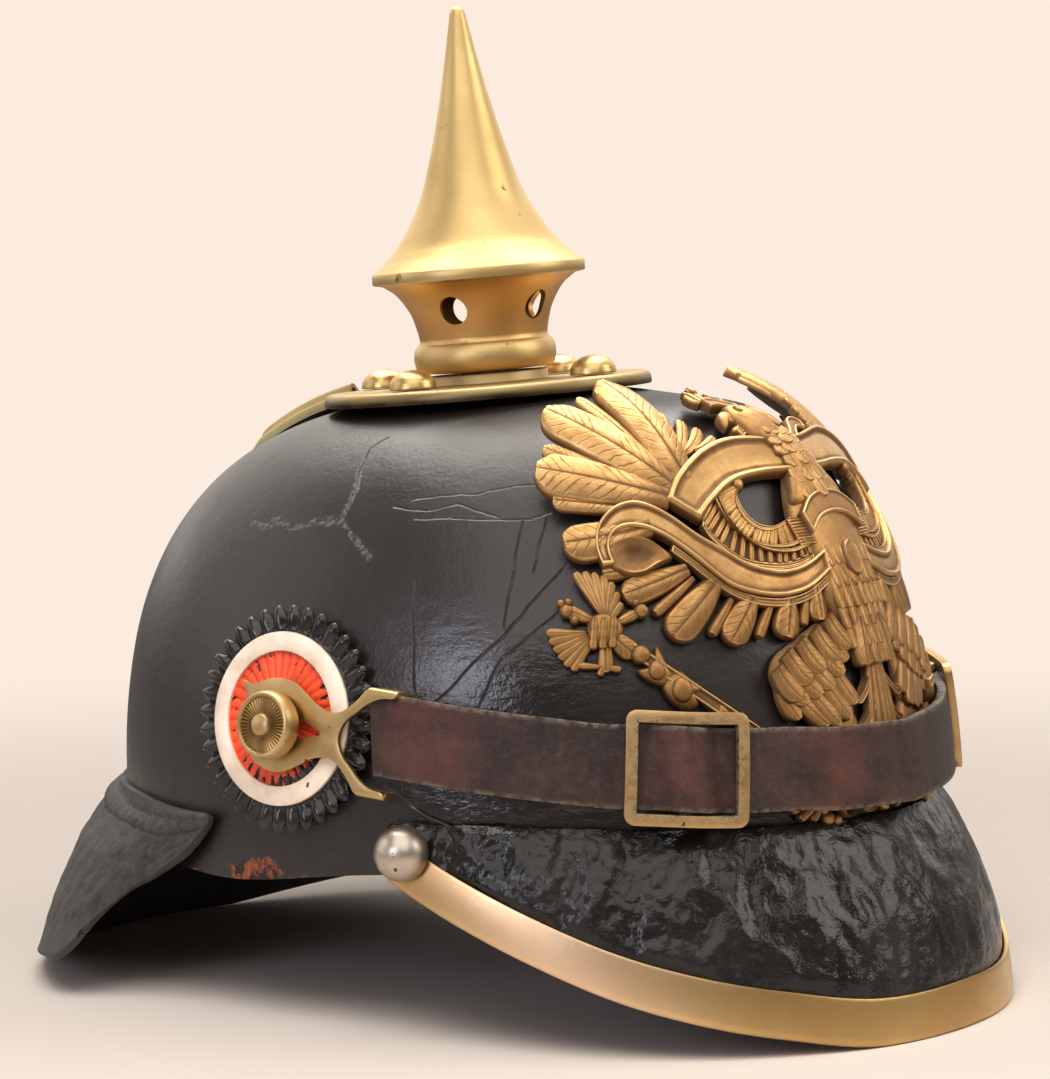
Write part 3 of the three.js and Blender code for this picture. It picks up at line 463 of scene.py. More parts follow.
# Front peak. A visor of stiff lacquered leather, sewn under the skull's edge and turned down; with age
# its lacquer has shrunk into hard bumps and creases, worst over the wearer's right.
PEAK_WALL = 2.2
FLOOR_AT_AXIS = 3.9
GAP = 0.45
FRONT_PEAK = {
    "angle": (0, 17, 30, 40, 50, 60, 70, 78),
    "top": (43.5, 44.2, 45.4, 46.6, 48.3, 50, 51.4, 52.2),
    "reach": (15.2, 15, 14.2, 13.4, 11.4, 8.6, 5.4, 3.4),
    "rise": (1.2, 1.3, 5.2, 9.2, 14.8, 22.6, 31.4, 39.6),
}


def eased(column, place, odd=False):
    """A value along a peak's table, through its neighbours on a smooth cubic."""
    column = np.asarray(column, float)
    last = len(column) - 1
    place = np.clip(place, 0, 1) * last
    i = np.minimum(place.astype(int), last - 1)
    t = place - i
    before = column[np.abs(i - 1)] * np.where((i == 0) & odd, -1, 1)
    here, there, after = column[i], column[i + 1], column[np.minimum(i + 2, last)]
    lead = (there - before) / 2
    trail = np.where(i + 2 > last, there - here, (after - here) / 2)
    t2, t3 = t * t, t * t * t
    value = (2 * t3 - 3 * t2 + 1) * here + (3 * t2 - 2 * t3) * there
    return value + (t3 - 2 * t2 + t) * lead + (t3 - t2) * trail


def floor_height(y):
    return FLOOR_AT_AXIS + y * math.tan(LEAN)


def over_floor(points, lift):
    points[:, 2] = np.maximum(points[:, 2], floor_height(points[:, 1]) + lift)
    return points


def front_surface(side, down):
    place = np.abs(side)
    turn = np.radians(eased(FRONT_PEAK["angle"], place, True))
    top, reach, rise = (eased(FRONT_PEAK[key], place) for key in ("top", "reach", "rise"))
    low = floor_height(-(HALF_LENGTH + reach) * np.cos(turn)) + rise
    share = wall_share(top)
    root = GAP + PEAK_WALL / 2
    out = root + (reach - root) * (1 - (1 - down) ** 2)
    ease = share + (1 - share) * down
    return np.stack([-np.where(side < 0, -1, 1) * (HALF_WIDTH * ease + out) * np.sin(turn),
                     -(HALF_LENGTH * ease + out) * np.cos(turn), top + (low - top) * down], axis=-1)


def surface_normal(surface, side, down):
    e = 0.004
    across = surface(np.minimum(side + e, 1), down) - surface(np.maximum(side - e, -1), down)
    along = surface(side, np.minimum(down + e, 1)) - surface(side, np.maximum(down - e, 0))
    normal = np.cross(across, along)
    normal /= np.linalg.norm(normal, axis=-1, keepdims=True)
    here = surface(side, down)
    inward = normal[..., 0] * here[..., 0] + normal[..., 1] * here[..., 1] < 0
    normal[inward] *= -1
    return normal


def rumples(points, size, stretch=(1, 1, 1)):
    """Sharp-backed folds of a given size, from about 0 to 1."""
    scale = np.asarray(stretch, float) / size
    return np.array([1 - abs(noise.noise(Vector(p * scale))) * 2.2 for p in points])


def old_lacquer(name):
    """Shrunk lacquer: black and wet-looking, with fine crinkles over the folds."""
    finish, tree, surface = new_finish(name)
    skin = leather(tree, 420.0, 130.0, 34.0)
    hue = blended(tree, skin.outputs["Patch"], (0.004, 0.0035, 0.0034, 1), (0.011, 0.0095, 0.0088, 1))
    tree.links.new(hue, surface.inputs["Base Color"])
    tree.links.new(between(tree, skin.outputs["Patch"], 0, 1, 0.16, 0.34), surface.inputs["Roughness"])
    surface.inputs["Specular IOR Level"].default_value = 0.4
    relief(tree, surface, skin.outputs["Height"], 0.7, 0.001)
    return finish


def trim_share(side, leg, most):
    """The share of the peak's slope that a leg of its trim covers, at most a given one."""
    slope = front_surface(side, np.ones_like(side)) - front_surface(side, np.zeros_like(side))
    span = np.linalg.norm(slope, axis=-1)
    return np.minimum(leg, span * most) / span


TRIM_OUTER_LEG = 9.6
FRONT_FOLDS = ((13, (1, 1, 0.5), 0.75), (6, (1, 1, 0.6), 0.6))
FOLD_LOWEST, FOLD_HIGHEST = -0.6, 1.5
front_peak, across, down = sheet_of("front_peak_leather", 420, 64)
side = across * 2 - 1
middle = front_surface(side, down)
normal = surface_normal(front_surface, side, down)
covered = 1 - trim_share(side, TRIM_OUTER_LEG, 0.72)
free = np.clip(down / 0.1, 0, 1) * np.clip((covered - down) / 0.08, 0, 1)
right = np.clip(side / 0.5 + 0.6, 0.45, 1)
folds = sum(rumples(middle, size, stretch) * depth for size, stretch, depth in FRONT_FOLDS)
folds += rumples(middle, 3) * 0.3 * np.clip((np.abs(side) - 0.25) / 0.3, 0.2, 1)
folds += uneven(middle, 1.7) * 0.16
shape(front_peak, middle + normal * (np.clip(folds, FOLD_LOWEST, FOLD_HIGHEST) * right * free)[:, None])
finish_with(front_peak, "SOLIDIFY", thickness=PEAK_WALL, offset=0)
shape(front_peak, over_floor(points_of(front_peak), 1.4))
front_peak.data.materials.append(old_lacquer("front_peak_lacquer"))
set_down(front_peak, "peak_leather", "front_peak")

# Rear peak. The neck guard, of the same leather worn dull, with a folded collar sewn round the skull;
# the thread has drawn the collar's lower edge into short gathers.
REAR_PEAK = {
    "angle": (0, 15, 30, 43, 52, 60, 67.5, 74),
    "edge": (0, 16, 32, 46, 54, 56, 60, 70),
    "top": (66, 65.4, 63.2, 60, 57.6, 56.2, 55.2, 54.6),
    "reach": (28, 27.2, 25.6, 24.6, 22.8, 14, 7, 3.6),
    "rise": (-1, -0.9, 3.8, 8, 11.8, 20, 29, 40.4),
}
COLLAR_DEPTH, COLLAR_RADIUS = 0.13, 96
GATHER_PITCH, GATHER_DEPTH = 4.6, 0.8
COLLAR_TOP = ((0, 0.3, 0.45, 0.6, 1), (0.1, 0.1, 0.04, 0, 0))
COLLAR_FOOT = ((0, 0.4, 0.57, 0.7, 0.85, 1), (0.21, 0.22, 0.21, 0.26, 0.3, 0.3))
REAR_EDGE = ((0, 0.36, 0.46, 0.5, 0.54, 0.57, 0.6, 0.63, 0.66, 0.7, 0.74, 0.79, 0.84, 0.9, 1),
             (1, 0.99, 1, 0.997, 0.982, 0.955, 0.915, 0.875, 0.845, 0.825, 0.81, 0.8, 0.83, 0.91, 1))
REAR_SWELL = ((0, 0.1, 0.2, 0.42, 0.72, 0.92, 1), (-1, -0.7, 1.6, 3.7, 2.8, 0.5, -0.2))


def rear_surface(side, down):
    place = np.abs(side)
    root_turn, edge_turn = eased(REAR_PEAK["angle"], place, True), eased(REAR_PEAK["edge"], place, True)
    turn = np.radians(root_turn + (edge_turn - root_turn) * down)
    top, reach, rise = (eased(REAR_PEAK[key], place) for key in ("top", "reach", "rise"))
    low = floor_height((HALF_LENGTH + reach) * np.cos(np.radians(edge_turn))) + rise
    z = top + (low - top) * down
    root = GAP + PEAK_WALL / 2
    slope = np.maximum(0, (down - COLLAR_DEPTH) / (1 - COLLAR_DEPTH))
    out = root + (reach - root) * slope ** 1.12
    share = wall_share(z)
    return np.stack([-np.where(side < 0, -1, 1) * (HALF_WIDTH * share + out) * np.sin(turn),
                     (HALF_LENGTH * share + out) * np.cos(turn), z], axis=-1)


def worn_leather(name):
    """Leather with its lacquer worn off: grey-brown and dull, with its fibres drawn down the slope."""
    finish, tree, surface = new_finish(name)
    spot = spot_of(tree)
    skin = leather(tree, 800.0, 120.0, 26.0)
    drawn = vectors(tree, "MULTIPLY", spot, (330.0, 330.0, 220.0))
    fibres = noise_of(tree, drawn, 1.0, 5.0, 0.7)
    hue = blended(tree, skin.outputs["Patch"], (0.02, 0.0178, 0.016, 1), (0.036, 0.032, 0.028, 1))
    hue = blended(tree, between(tree, fibres, 0.45, 0.7, 0.0, 0.6), hue, (0.085, 0.074, 0.064, 1))
    hue = blended(tree, between(tree, fibres, 0.42, 0.34, 0.0, 0.8), hue, (0.008, 0.007, 0.0065, 1))
    tree.links.new(hue, surface.inputs["Base Color"])
    tree.links.new(between(tree, fibres, 0.3, 0.7, 0.55, 0.78), surface.inputs["Roughness"])
    height = maths(tree, "ADD", fibres, maths(tree, "MULTIPLY", skin.outputs["Height"], 0.5))
    relief(tree, surface, height, 0.5, 0.0008)
    return finish


def softly(value, table, reach=0.03):
    """A value from a table, with the table's corners rounded off."""
    return np.mean([np.interp(value + k, *table) for k in np.linspace(-reach, reach, 7)], axis=0)


def soft_rear(side, down):
    """The rear peak's surface with the turns between its table's places eased."""
    return np.mean([rear_surface(side + k, down) for k in (-0.06, -0.03, 0, 0.03, 0.06)], axis=0)


def fibre_marks(wide, deep, seed):
    """Unevenness over the neck guard, with its own sizes round it and down it."""
    return uneven(np.column_stack([length / wide, down * deep, np.full_like(down, seed)]), 1)


rear_peak, across, along = sheet_of("rear_peak_leather", 420, 96)
side = 1 - across * 2
top, foot = softly(np.abs(side), COLLAR_TOP), softly(np.abs(side), REAR_EDGE, 0.02)
along = np.where(along < 0.5, along * 0.7, 0.35 + (along - 0.5) * 1.3)
down = top + (foot - top) * along
corner = 0.07 * (1 - np.sqrt(1 - np.clip(1 - along / 0.3, 0, 1) ** 2))
corner += 0.05 * (1 - np.sqrt(1 - np.clip((along - 0.7) / 0.3, 0, 1) ** 2))
side = side * (1 - corner)
middle = soft_rear(side, down)
normal = surface_normal(soft_rear, side, down)
length = np.sign(side) * np.radians(eased(REAR_PEAK["angle"], np.abs(side), True)) * COLLAR_RADIUS
gather = 0.5 + 0.5 * np.cos(2 * math.pi * length / GATHER_PITCH)
collar = softly(np.abs(side), COLLAR_FOOT) + 0.012 * gather
step = np.clip((collar - down) / 0.02, 0, 1)
ends = ramp(1 - np.abs(side), 0, 0.06)
lift = GATHER_DEPTH * step
lift -= GATHER_DEPTH * gather ** 4 * np.exp(-((down - collar + 0.03) / 0.025) ** 2)
lift += 0.4 * fibre_marks(4, 9, 3) * (down > collar)
lift += 0.2 * fibre_marks(1.8, 24, 7)
near = np.min([np.interp(np.abs(side) + k, *REAR_EDGE) for k in (-0.05, -0.025, 0, 0.025, 0.05)], axis=0)
lift *= ramp(near - down, 0, 0.16) * ramp(along, 0, 0.1) * ends
lift += np.interp(down, *REAR_SWELL) * ramp(1 - np.abs(side), 0.15, 0.55)
shape(rear_peak, middle + normal * lift[:, None])
finish_with(rear_peak, "SOLIDIFY", thickness=PEAK_WALL, offset=0)
finish_with(rear_peak, "SMOOTH", factor=0.5, iterations=3)
shape(rear_peak, over_floor(points_of(rear_peak), 0))
rear_peak.data.materials.append(worn_leather("rear_peak_leather"))
set_down(rear_peak, "peak_leather", "rear_peak")

# Peak trim. A strip of sheet brass folded into a channel over the peak's edge; it is bright where it
# was handled, and elsewhere has gone pink and brown.
TRIM_WALL = 0.9
TRIM_INNER_LEG = 5.5
FOLD_START, FOLD_END, FOLD_DROP = 0.4, 0.75, 1.7
TRIM_STAND = PEAK_WALL / 2 + 0.35 + TRIM_WALL


def brass_age():
    """Age on brass: broad tarnish, small dark spots, and a fine rubbed grain as a height."""
    sizes = (("Broad", 30.0), ("Spots", 260.0), ("Share", 0.7))
    group, given, result = new_effect("brass_age", sizes, ("Tarnish", "Spot", "Grain"))
    spot = spot_of(group)
    broad = noise_of(group, spot, given.outputs["Broad"], 5.0, 0.6)
    specks = noise_of(group, spot, given.outputs["Spots"], 2.0, 0.5)
    over = maths(group, "SUBTRACT", specks, given.outputs["Share"])
    group.links.new(between(group, broad, 0.36, 0.66), result.inputs["Tarnish"])
    group.links.new(between(group, over, 0.0, 0.05), result.inputs["Spot"])
    group.links.new(noise_of(group, spot, 1500.0, 3.0, 0.7), result.inputs["Grain"])
    return group


BRASS_AGE = brass_age()


def aged(tree, broad, spots, share):
    return node(tree, "ShaderNodeGroup", {"Broad": broad, "Spots": spots, "Share": share},
                node_tree=BRASS_AGE)


def brass(name, bright, tarnished, dark, smooth, dull, broad=30.0, spots=260.0, share=0.7, marked=None):
    """Old brass; a marked place, from the piece's attribute "mark", takes the marked colour."""
    finish, tree, surface = new_finish(name)
    age = aged(tree, broad, spots, share)
    hue = blended(tree, age.outputs["Tarnish"], bright, tarnished)
    hue = blended(tree, age.outputs["Spot"], hue, dark)
    if marked:
        mark = noted(tree, "mark")
        mark = maths(tree, "MULTIPLY", mark, between(tree, age.outputs["Tarnish"], 0, 1, 1, 0.5))
        hue = blended(tree, mark, hue, marked)
    tree.links.new(hue, surface.inputs["Base Color"])
    surface.inputs["Metallic"].default_value = 1.0
    worn = between(tree, age.outputs["Tarnish"], 0, 1, smooth, dull)
    tree.links.new(maths(tree, "ADD", worn, maths(tree, "MULTIPLY", age.outputs["Spot"], 0.2)),
                   surface.inputs["Roughness"])
    relief(tree, surface, age.outputs["Grain"], 0.12, 0.0002)
    return finish


def ease_edges(piece, width, sharp=50):
    finish_with(piece, "BEVEL", width=width, segments=2, limit_method="ANGLE",
                angle_limit=math.radians(sharp))


trim, around, along = sheet_of("peak_trim_brass", 26, 220)
side = along * 2 - 1
drop = front_surface(side, np.ones_like(side)) - front_surface(side, np.full_like(side, 0.94))
drop /= np.linalg.norm(drop, axis=-1, keepdims=True)
outer, inner = trim_share(side, TRIM_OUTER_LEG, 0.72), trim_share(side, TRIM_INNER_LEG, 0.5)
leg = np.where(around < FOLD_START, 1 - outer * (1 - around / FOLD_START), 1.0)
leg = np.where(around > FOLD_END, 1 - inner * (around - FOLD_END) / (1 - FOLD_END), leg)
turn = np.clip((around - FOLD_START) / (FOLD_END - FOLD_START), 0, 1) * math.pi
stand = TRIM_STAND * np.sign(np.cos(turn)) * np.abs(np.cos(turn)) ** 0.7
below = FOLD_DROP * np.sin(turn) ** 0.8
skin = front_surface(side, leg) + drop * below[:, None]
skin += surface_normal(front_surface, side, leg) * stand[:, None]
shape(trim, over_floor(skin, 0))
pink = np.exp(-((side - 0.66) / 0.2) ** 2) + 0.6 * np.exp(-((side + 0.6) / 0.2) ** 2)
note(trim, "mark", np.clip(pink, 0, 1))
edit(trim, bpy.ops.mesh.flip_normals)
finish_with(trim, "SOLIDIFY", thickness=TRIM_WALL, offset=-1)
ease_edges(trim, 0.22)
shape(trim, over_floor(points_of(trim), 0))
TRIM_COLOURS = ((0.57, 0.39, 0.155, 1), (0.47, 0.28, 0.11, 1), (0.2, 0.11, 0.06, 1))
TRIM_PINK = (0.88, 0.63, 0.42, 1)
trim.data.materials.append(brass("trim_brass", *TRIM_COLOURS, 0.3, 0.42, 26.0, 300.0, 0.79,
                                 marked=TRIM_PINK))
set_down(trim, "trim_brass", "peak_trim")

# Trim studs. Turned nickel balls, one at each end of the trim, flat behind; each holds the channel's end
# against the leather by a screw.
TRIM_STUD_RADIUS, TRIM_STUD_RAISED, TRIM_STUD_STAND = 6.4, 0.6, 0.7
TRIM_STUD_SIDE, TRIM_STUD_DOWN = 0.955, 0.45


def nickel(name):
    finish, tree, surface = new_finish(name)
    age = aged(tree, 120.0, 500.0, 0.68)
    hue = blended(tree, age.outputs["Tarnish"], (0.6, 0.53, 0.45, 1), (0.42, 0.34, 0.27, 1))
    tree.links.new(blended(tree, age.outputs["Spot"], hue, (0.12, 0.08, 0.06, 1)),
                   surface.inputs["Base Color"])
    surface.inputs["Metallic"].default_value = 1.0
    tree.links.new(between(tree, age.outputs["Tarnish"], 0, 1, 0.32, 0.44), surface.inputs["Roughness"])
    relief(tree, surface, age.outputs["Grain"], 0.1, 0.0002)
    return finish


def moved_to(piece, origin, out):
    """Stands a piece that was made on its own axis on a surface: its first axis forward, its third out."""
    out = out / np.linalg.norm(out)
    ahead = np.array([0, -1, 0]) + out * out[1]
    ahead /= np.linalg.norm(ahead)
    over = np.cross(out, ahead)
    shape(piece, points_of(piece) @ np.array([ahead, over, out]) + origin)


def mirrored(piece, name):
    """A copy for the wearer's left, with its faces turned back out."""
    take(piece)
    bpy.ops.object.duplicate()
    copy = bpy.context.object
    copy.name = name
    shape(copy, points_of(copy) * np.array([-1, 1, 1]))
    edit(copy, bpy.ops.mesh.flip_normals)
    return copy


def set_down_pair(piece, other, slot, named, smooth=40):
    set_down(piece, slot, named + "_right", smooth=smooth)
    set_down(other, slot, named + "_left", smooth=smooth)


bpy.ops.object.select_all(action="DESELECT")
bpy.ops.mesh.primitive_uv_sphere_add(segments=48, ring_count=28, radius=TRIM_STUD_RADIUS)
ball = bpy.context.object
ball.name = "trim_ball_right"
edit(ball, lambda: bpy.ops.transform.translate(value=(0, 0, TRIM_STUD_RAISED)),
     lambda: bpy.ops.mesh.bisect(plane_co=(0, 0, 0), plane_no=(0, 0, 1), use_fill=True, clear_inner=True))
place, deep = np.array([TRIM_STUD_SIDE]), np.array([TRIM_STUD_DOWN])
out = surface_normal(front_surface, place, deep)[0]
moved_to(ball, front_surface(place, deep)[0] + out * (TRIM_STAND + TRIM_STUD_STAND), out)
ball.data.materials.append(nickel("ball_nickel"))
other = mirrored(ball, "trim_ball_left")
set_down_pair(ball, other, "nickel_silver", "trim_stud")

# Base plate. A round of sheet brass with its edge turned down over the crown and a low collar for the
# spike; four domed studs hold it through the leather.
PLATE_Z = 149.0
STUD_CIRCLE = 31.0


def turned(name, rings, sides):
    """A turned piece: a circle drawn through its rings of radius and height."""
    bpy.ops.object.select_all(action="DESELECT")
    bpy.ops.mesh.primitive_circle_add(vertices=sides, radius=max(rings[0][0], 0.02))
    piece = bpy.context.object
    piece.name = name
    bpy.ops.object.mode_set(mode="EDIT")
    bpy.ops.mesh.select_all(action="SELECT")
    bpy.ops.transform.translate(value=(0, 0, rings[0][1]))
    for (r0, z0), (r1, z1) in zip(rings, rings[1:]):
        grow = max(r1, 0.02) / max(r0, 0.02)
        bpy.ops.mesh.extrude_region_move(TRANSFORM_OT_translate={"value": (0, 0, z1 - z0)})
        bpy.ops.transform.resize(value=(grow, grow, 1), center_override=(0, 0, z1))
    bpy.ops.object.mode_set(mode="OBJECT")
    edit(piece, lambda: bpy.ops.mesh.remove_doubles(threshold=0.015),
         lambda: bpy.ops.mesh.normals_make_consistent(inside=False))
    return piece


def shift(piece, way):
    edit(piece, lambda: bpy.ops.transform.translate(value=way))


PLATE_RINGS = [(9, -1.3), (30, -1.3), (37.3, -1.3), (38.2, -1.7), (38.8, -3), (39.1, -3.25), (39.7, -3.2),
               (39.9, -2.6), (39.7, -1.2), (39.2, -0.4), (38.3, -0.05), (37.4, 0), (36.4, -0.05), (30, 0),
               (16, 0), (15.1, 0.1), (14.9, 0.4), (14.85, 2.1), (14.6, 2.4), (13.8, 2.45), (9, 2.4),
               (9, -1.3)]
plate = turned("base_plate_brass", PLATE_RINGS, 128)
shift(plate, (0, 0, PLATE_Z))
spots = points_of(plate)
# Painted shade: the outer side of the turned-down edge is marked here, to be coloured near black where it
# stands in shadow.
under = ramp(np.hypot(spots[:, 0], spots[:, 1]), 38.2, 39.2) * ramp(PLATE_Z - spots[:, 2], 0.5, 1.9)
note(plate, "mark", under)
SHEET_BRASS = ((0.5, 0.37, 0.17, 1), (0.33, 0.24, 0.12, 1), (0.1, 0.07, 0.045, 1), 0.38, 0.55, 36.0,
               220.0, 0.72)
# The marked colour below is painted shade on the turned-down edge.
plate.data.materials.append(brass("plate_brass", *SHEET_BRASS, marked=(0.03, 0.022, 0.014, 1)))
set_down(plate, "plate_brass", "base_plate")

STUD_COLOURS = ((0.66, 0.48, 0.2, 1), (0.52, 0.36, 0.15, 1), (0.12, 0.08, 0.05, 1))
STUD_BRASS = brass("stud_brass", *STUD_COLOURS, 0.28, 0.42, 60.0, 500.0, 0.7)
STUD_DOME = [(5.6 * math.cos(t), 0.6 + 4 * math.sin(t)) for t in np.linspace(0.2, 1.5, 9)]
STUD_RINGS = [(0, 0), (5.3, 0), (5.6, 0.12), (5.65, 0.5), (5.5, 0.9)] + STUD_DOME + [(0, 4.6)]
for name, x, y in (("front", 0, -1), ("rear", 0, 1), ("right", -1, 0), ("left", 1, 0)):
    stud = turned("base_stud_" + name + "_dome", STUD_RINGS, 40)
    shift(stud, (x * STUD_CIRCLE, y * STUD_CIRCLE, PLATE_Z + 0.3))
    stud.data.materials.append(STUD_BRASS)
    set_down(stud, "plate_brass", "base_stud_" + name, smooth=60)

# Spike. A hollow cone of spun brass with a flared rim, soldered to a pierced neck that stands on a
# heavy bead; five round vents in the neck air the skull.
VENT_RADIUS, VENT_Z, VENT_TURN, VENTS = 3.4, 18.0, -6, 5


def face_out(piece):
    edit(piece, lambda: bpy.ops.mesh.normals_make_consistent(inside=False))


def smoothed(points, per, closed=False):
    """More points on a smooth curve through those given."""
    p = np.asarray(points, float)
    if closed:
        p = np.concatenate([p[-1:], p, p[:2]])
    else:
        p = np.concatenate([2 * p[:1] - p[1:2], p, 2 * p[-1:] - p[-2:-1]])
    t = np.arange(per)[:, None] / per
    parts = []
    for a, b, c, d in zip(p, p[1:], p[2:], p[3:]):
        bent, twisted = 2 * a - 5 * b + 4 * c - d, 3 * b - a - 3 * c + d
        parts.append(0.5 * (2 * b + (c - a) * t + bent * t * t + twisted * t ** 3))
    return np.concatenate(parts if closed else parts + [p[-2:-1]])


def spun(turn):
    """What turns rows of points about the upright axis."""
    return np.array([[math.cos(turn), math.sin(turn), 0], [-math.sin(turn), math.cos(turn), 0], [0, 0, 1]])


cone = smoothed([(25.2, 28.35), (21.4, 31.7), (17.9, 35.8), (12.8, 45), (9.4, 55.5), (6.6, 66.5),
                 (4.1, 78), (2.2, 87.6)], 6)
neck = smoothed([(15.5, 10.9), (16, 13.7), (17.4, 18), (20.2, 22.4), (23.4, 24.9)], 5)
bead = [(15.7 + 1.6 * math.cos(t), 6.6 + 3.5 * math.sin(t)) for t in np.linspace(-1.75, 1.45, 14)]
inside = [(0.4, 82), (5.9, 62.4), (11.3, 43.6), (16.2, 34.4), (21.6, 27.6), (18.6, 23), (16, 18),
          (14.2, 11), (12.6, 2.9)]
tip = [(1.95, 89.2), (1.55, 90.3), (0.9, 90.85), (0, 90.98)]
brim = [(25.5, 25.3), (25.8, 25.4), (25.9, 25.6), (25.9, 27.6), (25.8, 27.85), (25.55, 28.1)]
rings = inside + bead + [tuple(p) for p in neck] + brim + [tuple(p) for p in cone] + tip
spike = turned("spike_brass", [(0, 82)] + rings, 112)
for i in range(VENTS):
    bpy.ops.object.select_all(action="DESELECT")
    bpy.ops.mesh.primitive_cylinder_add(vertices=40, radius=VENT_RADIUS, depth=16)
    bore = bpy.context.object
    turn = i * 2 * math.pi / VENTS + math.radians(VENT_TURN)
    spots = points_of(bore)[:, [0, 2, 1]] * np.array([1, 1, -1]) + np.array([0, -18, VENT_Z])
    shape(bore, spots @ spun(turn))
    face_out(bore)
    finish_with(spike, "BOOLEAN", object=bore, operation="DIFFERENCE", solver="EXACT")
    bpy.data.objects.remove(bore)
shift(spike, (0, 0, PLATE_Z))
high = points_of(spike)[:, 2] - PLATE_Z
grimy = ramp(high, 9, 13) * ramp(25.4 - high, 0, 1.2) + 0.8 * ramp(6.5 - high, 0, 3)
note(spike, "mark", np.clip(grimy, 0, 1))
SPIKE_COLOURS = ((0.68, 0.5, 0.225, 1), (0.6, 0.42, 0.175, 1), (0.2, 0.12, 0.06, 1))
NECK_BROWN = (0.74, 0.4, 0.14, 1)
spike.data.materials.append(brass("spike_brass", *SPIKE_COLOURS, 0.4, 0.5, 34.0, 190.0, 0.72,
                                  marked=NECK_BROWN))
set_down(spike, "spike_brass", "spike", smooth=35)

# Rear spine. A ridged strip of brass down the back of the skull from under the base plate; its upper
# end is raised into a hood over a vent, and green with verdigris at the step.
SPINE_FOOT, SPINE_TOP, SPINE_HALF, SPINE_WALL = 58.5, 144.6, 6.4, 0.9
SPINE_RIDGES = ((0, 0.9, 1.5, 2.1, 4.2, 4.7, 5.3, 6, 6.4), (1.5, 1.3, 0.7, 0.15, 0.1, 0.5, 0.55, 0.3, 0))
SPINE_FLANK = ((0, 4.2, 6.0, 6.4), (1, 0.8, 0.25, 0))
HOOD_START, HOOD_RISE = 0.72, 2.6


def arc_at(z):
    z = np.asarray(z, float)
    return np.where(z <= FOOT, z - FOOT, np.interp(z, ARC_Z, ARC))


spine, across, along = sheet_of("rear_spine_brass", 64, 120)
arc = arc_at(SPINE_FOOT) + (arc_at(SPINE_TOP) - arc_at(SPINE_FOOT)) * along
half = (across * 2 - 1) * SPINE_HALF
hood = np.clip((along - HOOD_START) / 0.05, 0, 1) ** 1.5 * HOOD_RISE
ridge = np.interp(np.abs(half), *SPINE_RIDGES)
flank = np.interp(np.abs(half), *SPINE_FLANK)
share = np.maximum(np.interp(arc, ARC, ARC_SHARE), 0.2)
stand = GAP + 1.2 + ridge * 1.5 + flank * hood
shape(spine, on_skull(180 - np.degrees(half / (HALF_WIDTH * share)), arc, stand))
verdigris = np.exp(-((along - 0.745) / 0.012) ** 2) + 0.5 * ramp(np.abs(half), 5.2, SPINE_HALF)
note(spine, "mark", np.clip(verdigris, 0, 0.9))
VERDIGRIS = (0.1, 0.2, 0.15, 1)
spine.data.materials.append(brass("spine_brass", *SHEET_BRASS, marked=VERDIGRIS))
finish_with(spine, "SOLIDIFY", thickness=SPINE_WALL, offset=-1)
set_down(spine, "plate_brass", "rear_spine", smooth=35)

# Cockades. Stamped tin roundels, pleated all round and painted in rings; the petals are glossy black,
# the flat ring between is white, and the wearer's right one is vermilion inside, chipped at the pleats.
SIDE_ANGLE, SIDE_Z = 93.6, 77.0
COCKADE_PETALS, COCKADE_WALL = 36, 0.45
RED_EDGE, WHITE_EDGE = 15.5, 20.02
PLEAT_EDGE, PETAL_ROOT, PETAL_SCALLOP = 15.4, 20.2, 2.5
COCKADE_RINGS = {
    "radius": (5.6, 7, 10, 12.6, 14.4, 15.3, 15.5, 15.62, 15.9, 18, 19.6, 20, 20.12, 20.3, 20.8, 21.8, 23,
               24.2, 25.1, 25.7, 26.05, 26.3),
    "height": (2.9, 2.9, 2.7, 2.45, 2.3, 2.2, 2.2, 2.95, 3.1, 3.0, 2.75, 2.5, 1.5, 1.35, 1.5, 1.7, 1.8,
               1.75, 1.55, 1.2, 0.85, 0.5),
}


def roundel_paint(name, middle):
    """Three rings of paint by radius; bare dark tin shows where it has chipped off the pleats."""
    finish, tree, surface = new_finish(name)
    spot = spot_of(tree)
    radius = noted(tree, "ring")
    valley = noted(tree, "valley")
    dirt = noise_of(tree, spot, 160.0, 4.0)
    cream = blended(tree, between(tree, dirt, 0.4, 0.75), (0.83, 0.7, 0.58, 1), (0.62, 0.48, 0.36, 1))
    black = blended(tree, between(tree, dirt, 0.45, 0.7), (0.006, 0.006, 0.006, 1), (0.03, 0.026, 0.02, 1))
    inside = blended(tree, between(tree, dirt, 0.35, 0.7), middle,
                     tuple(0.72 * c for c in middle[:3]) + (1,))
    flaked = noise_of(tree, spot, 520.0, 3.0, 0.6)
    outer = between(tree, radius, 8.0, 15.6, 0.1, 0.34)
    lost = noted(tree, "lost")
    chips = maths(tree, "ADD", maths(tree, "MULTIPLY", valley, outer), maths(tree, "ADD", flaked, lost))
    inside = blended(tree, between(tree, chips, 0.74, 0.76), inside, (0.012, 0.01, 0.009, 1))
    specks = between(tree, noise_of(tree, spot, 420.0, 2.0), 0.725, 0.74)
    cream = blended(tree, specks, cream, (0.05, 0.035, 0.025, 1))
    hue = blended(tree, between(tree, radius, RED_EDGE, RED_EDGE + 0.1), inside, cream)
    hue = blended(tree, between(tree, radius, WHITE_EDGE, WHITE_EDGE + 0.08), hue, black)
    tree.links.new(hue, surface.inputs["Base Color"])
    tree.links.new(between(tree, radius, 20.0, 20.1, 0.42, 0.2), surface.inputs["Roughness"])
    relief(tree, surface, flaked, 0.2, 0.0003)
    return finish


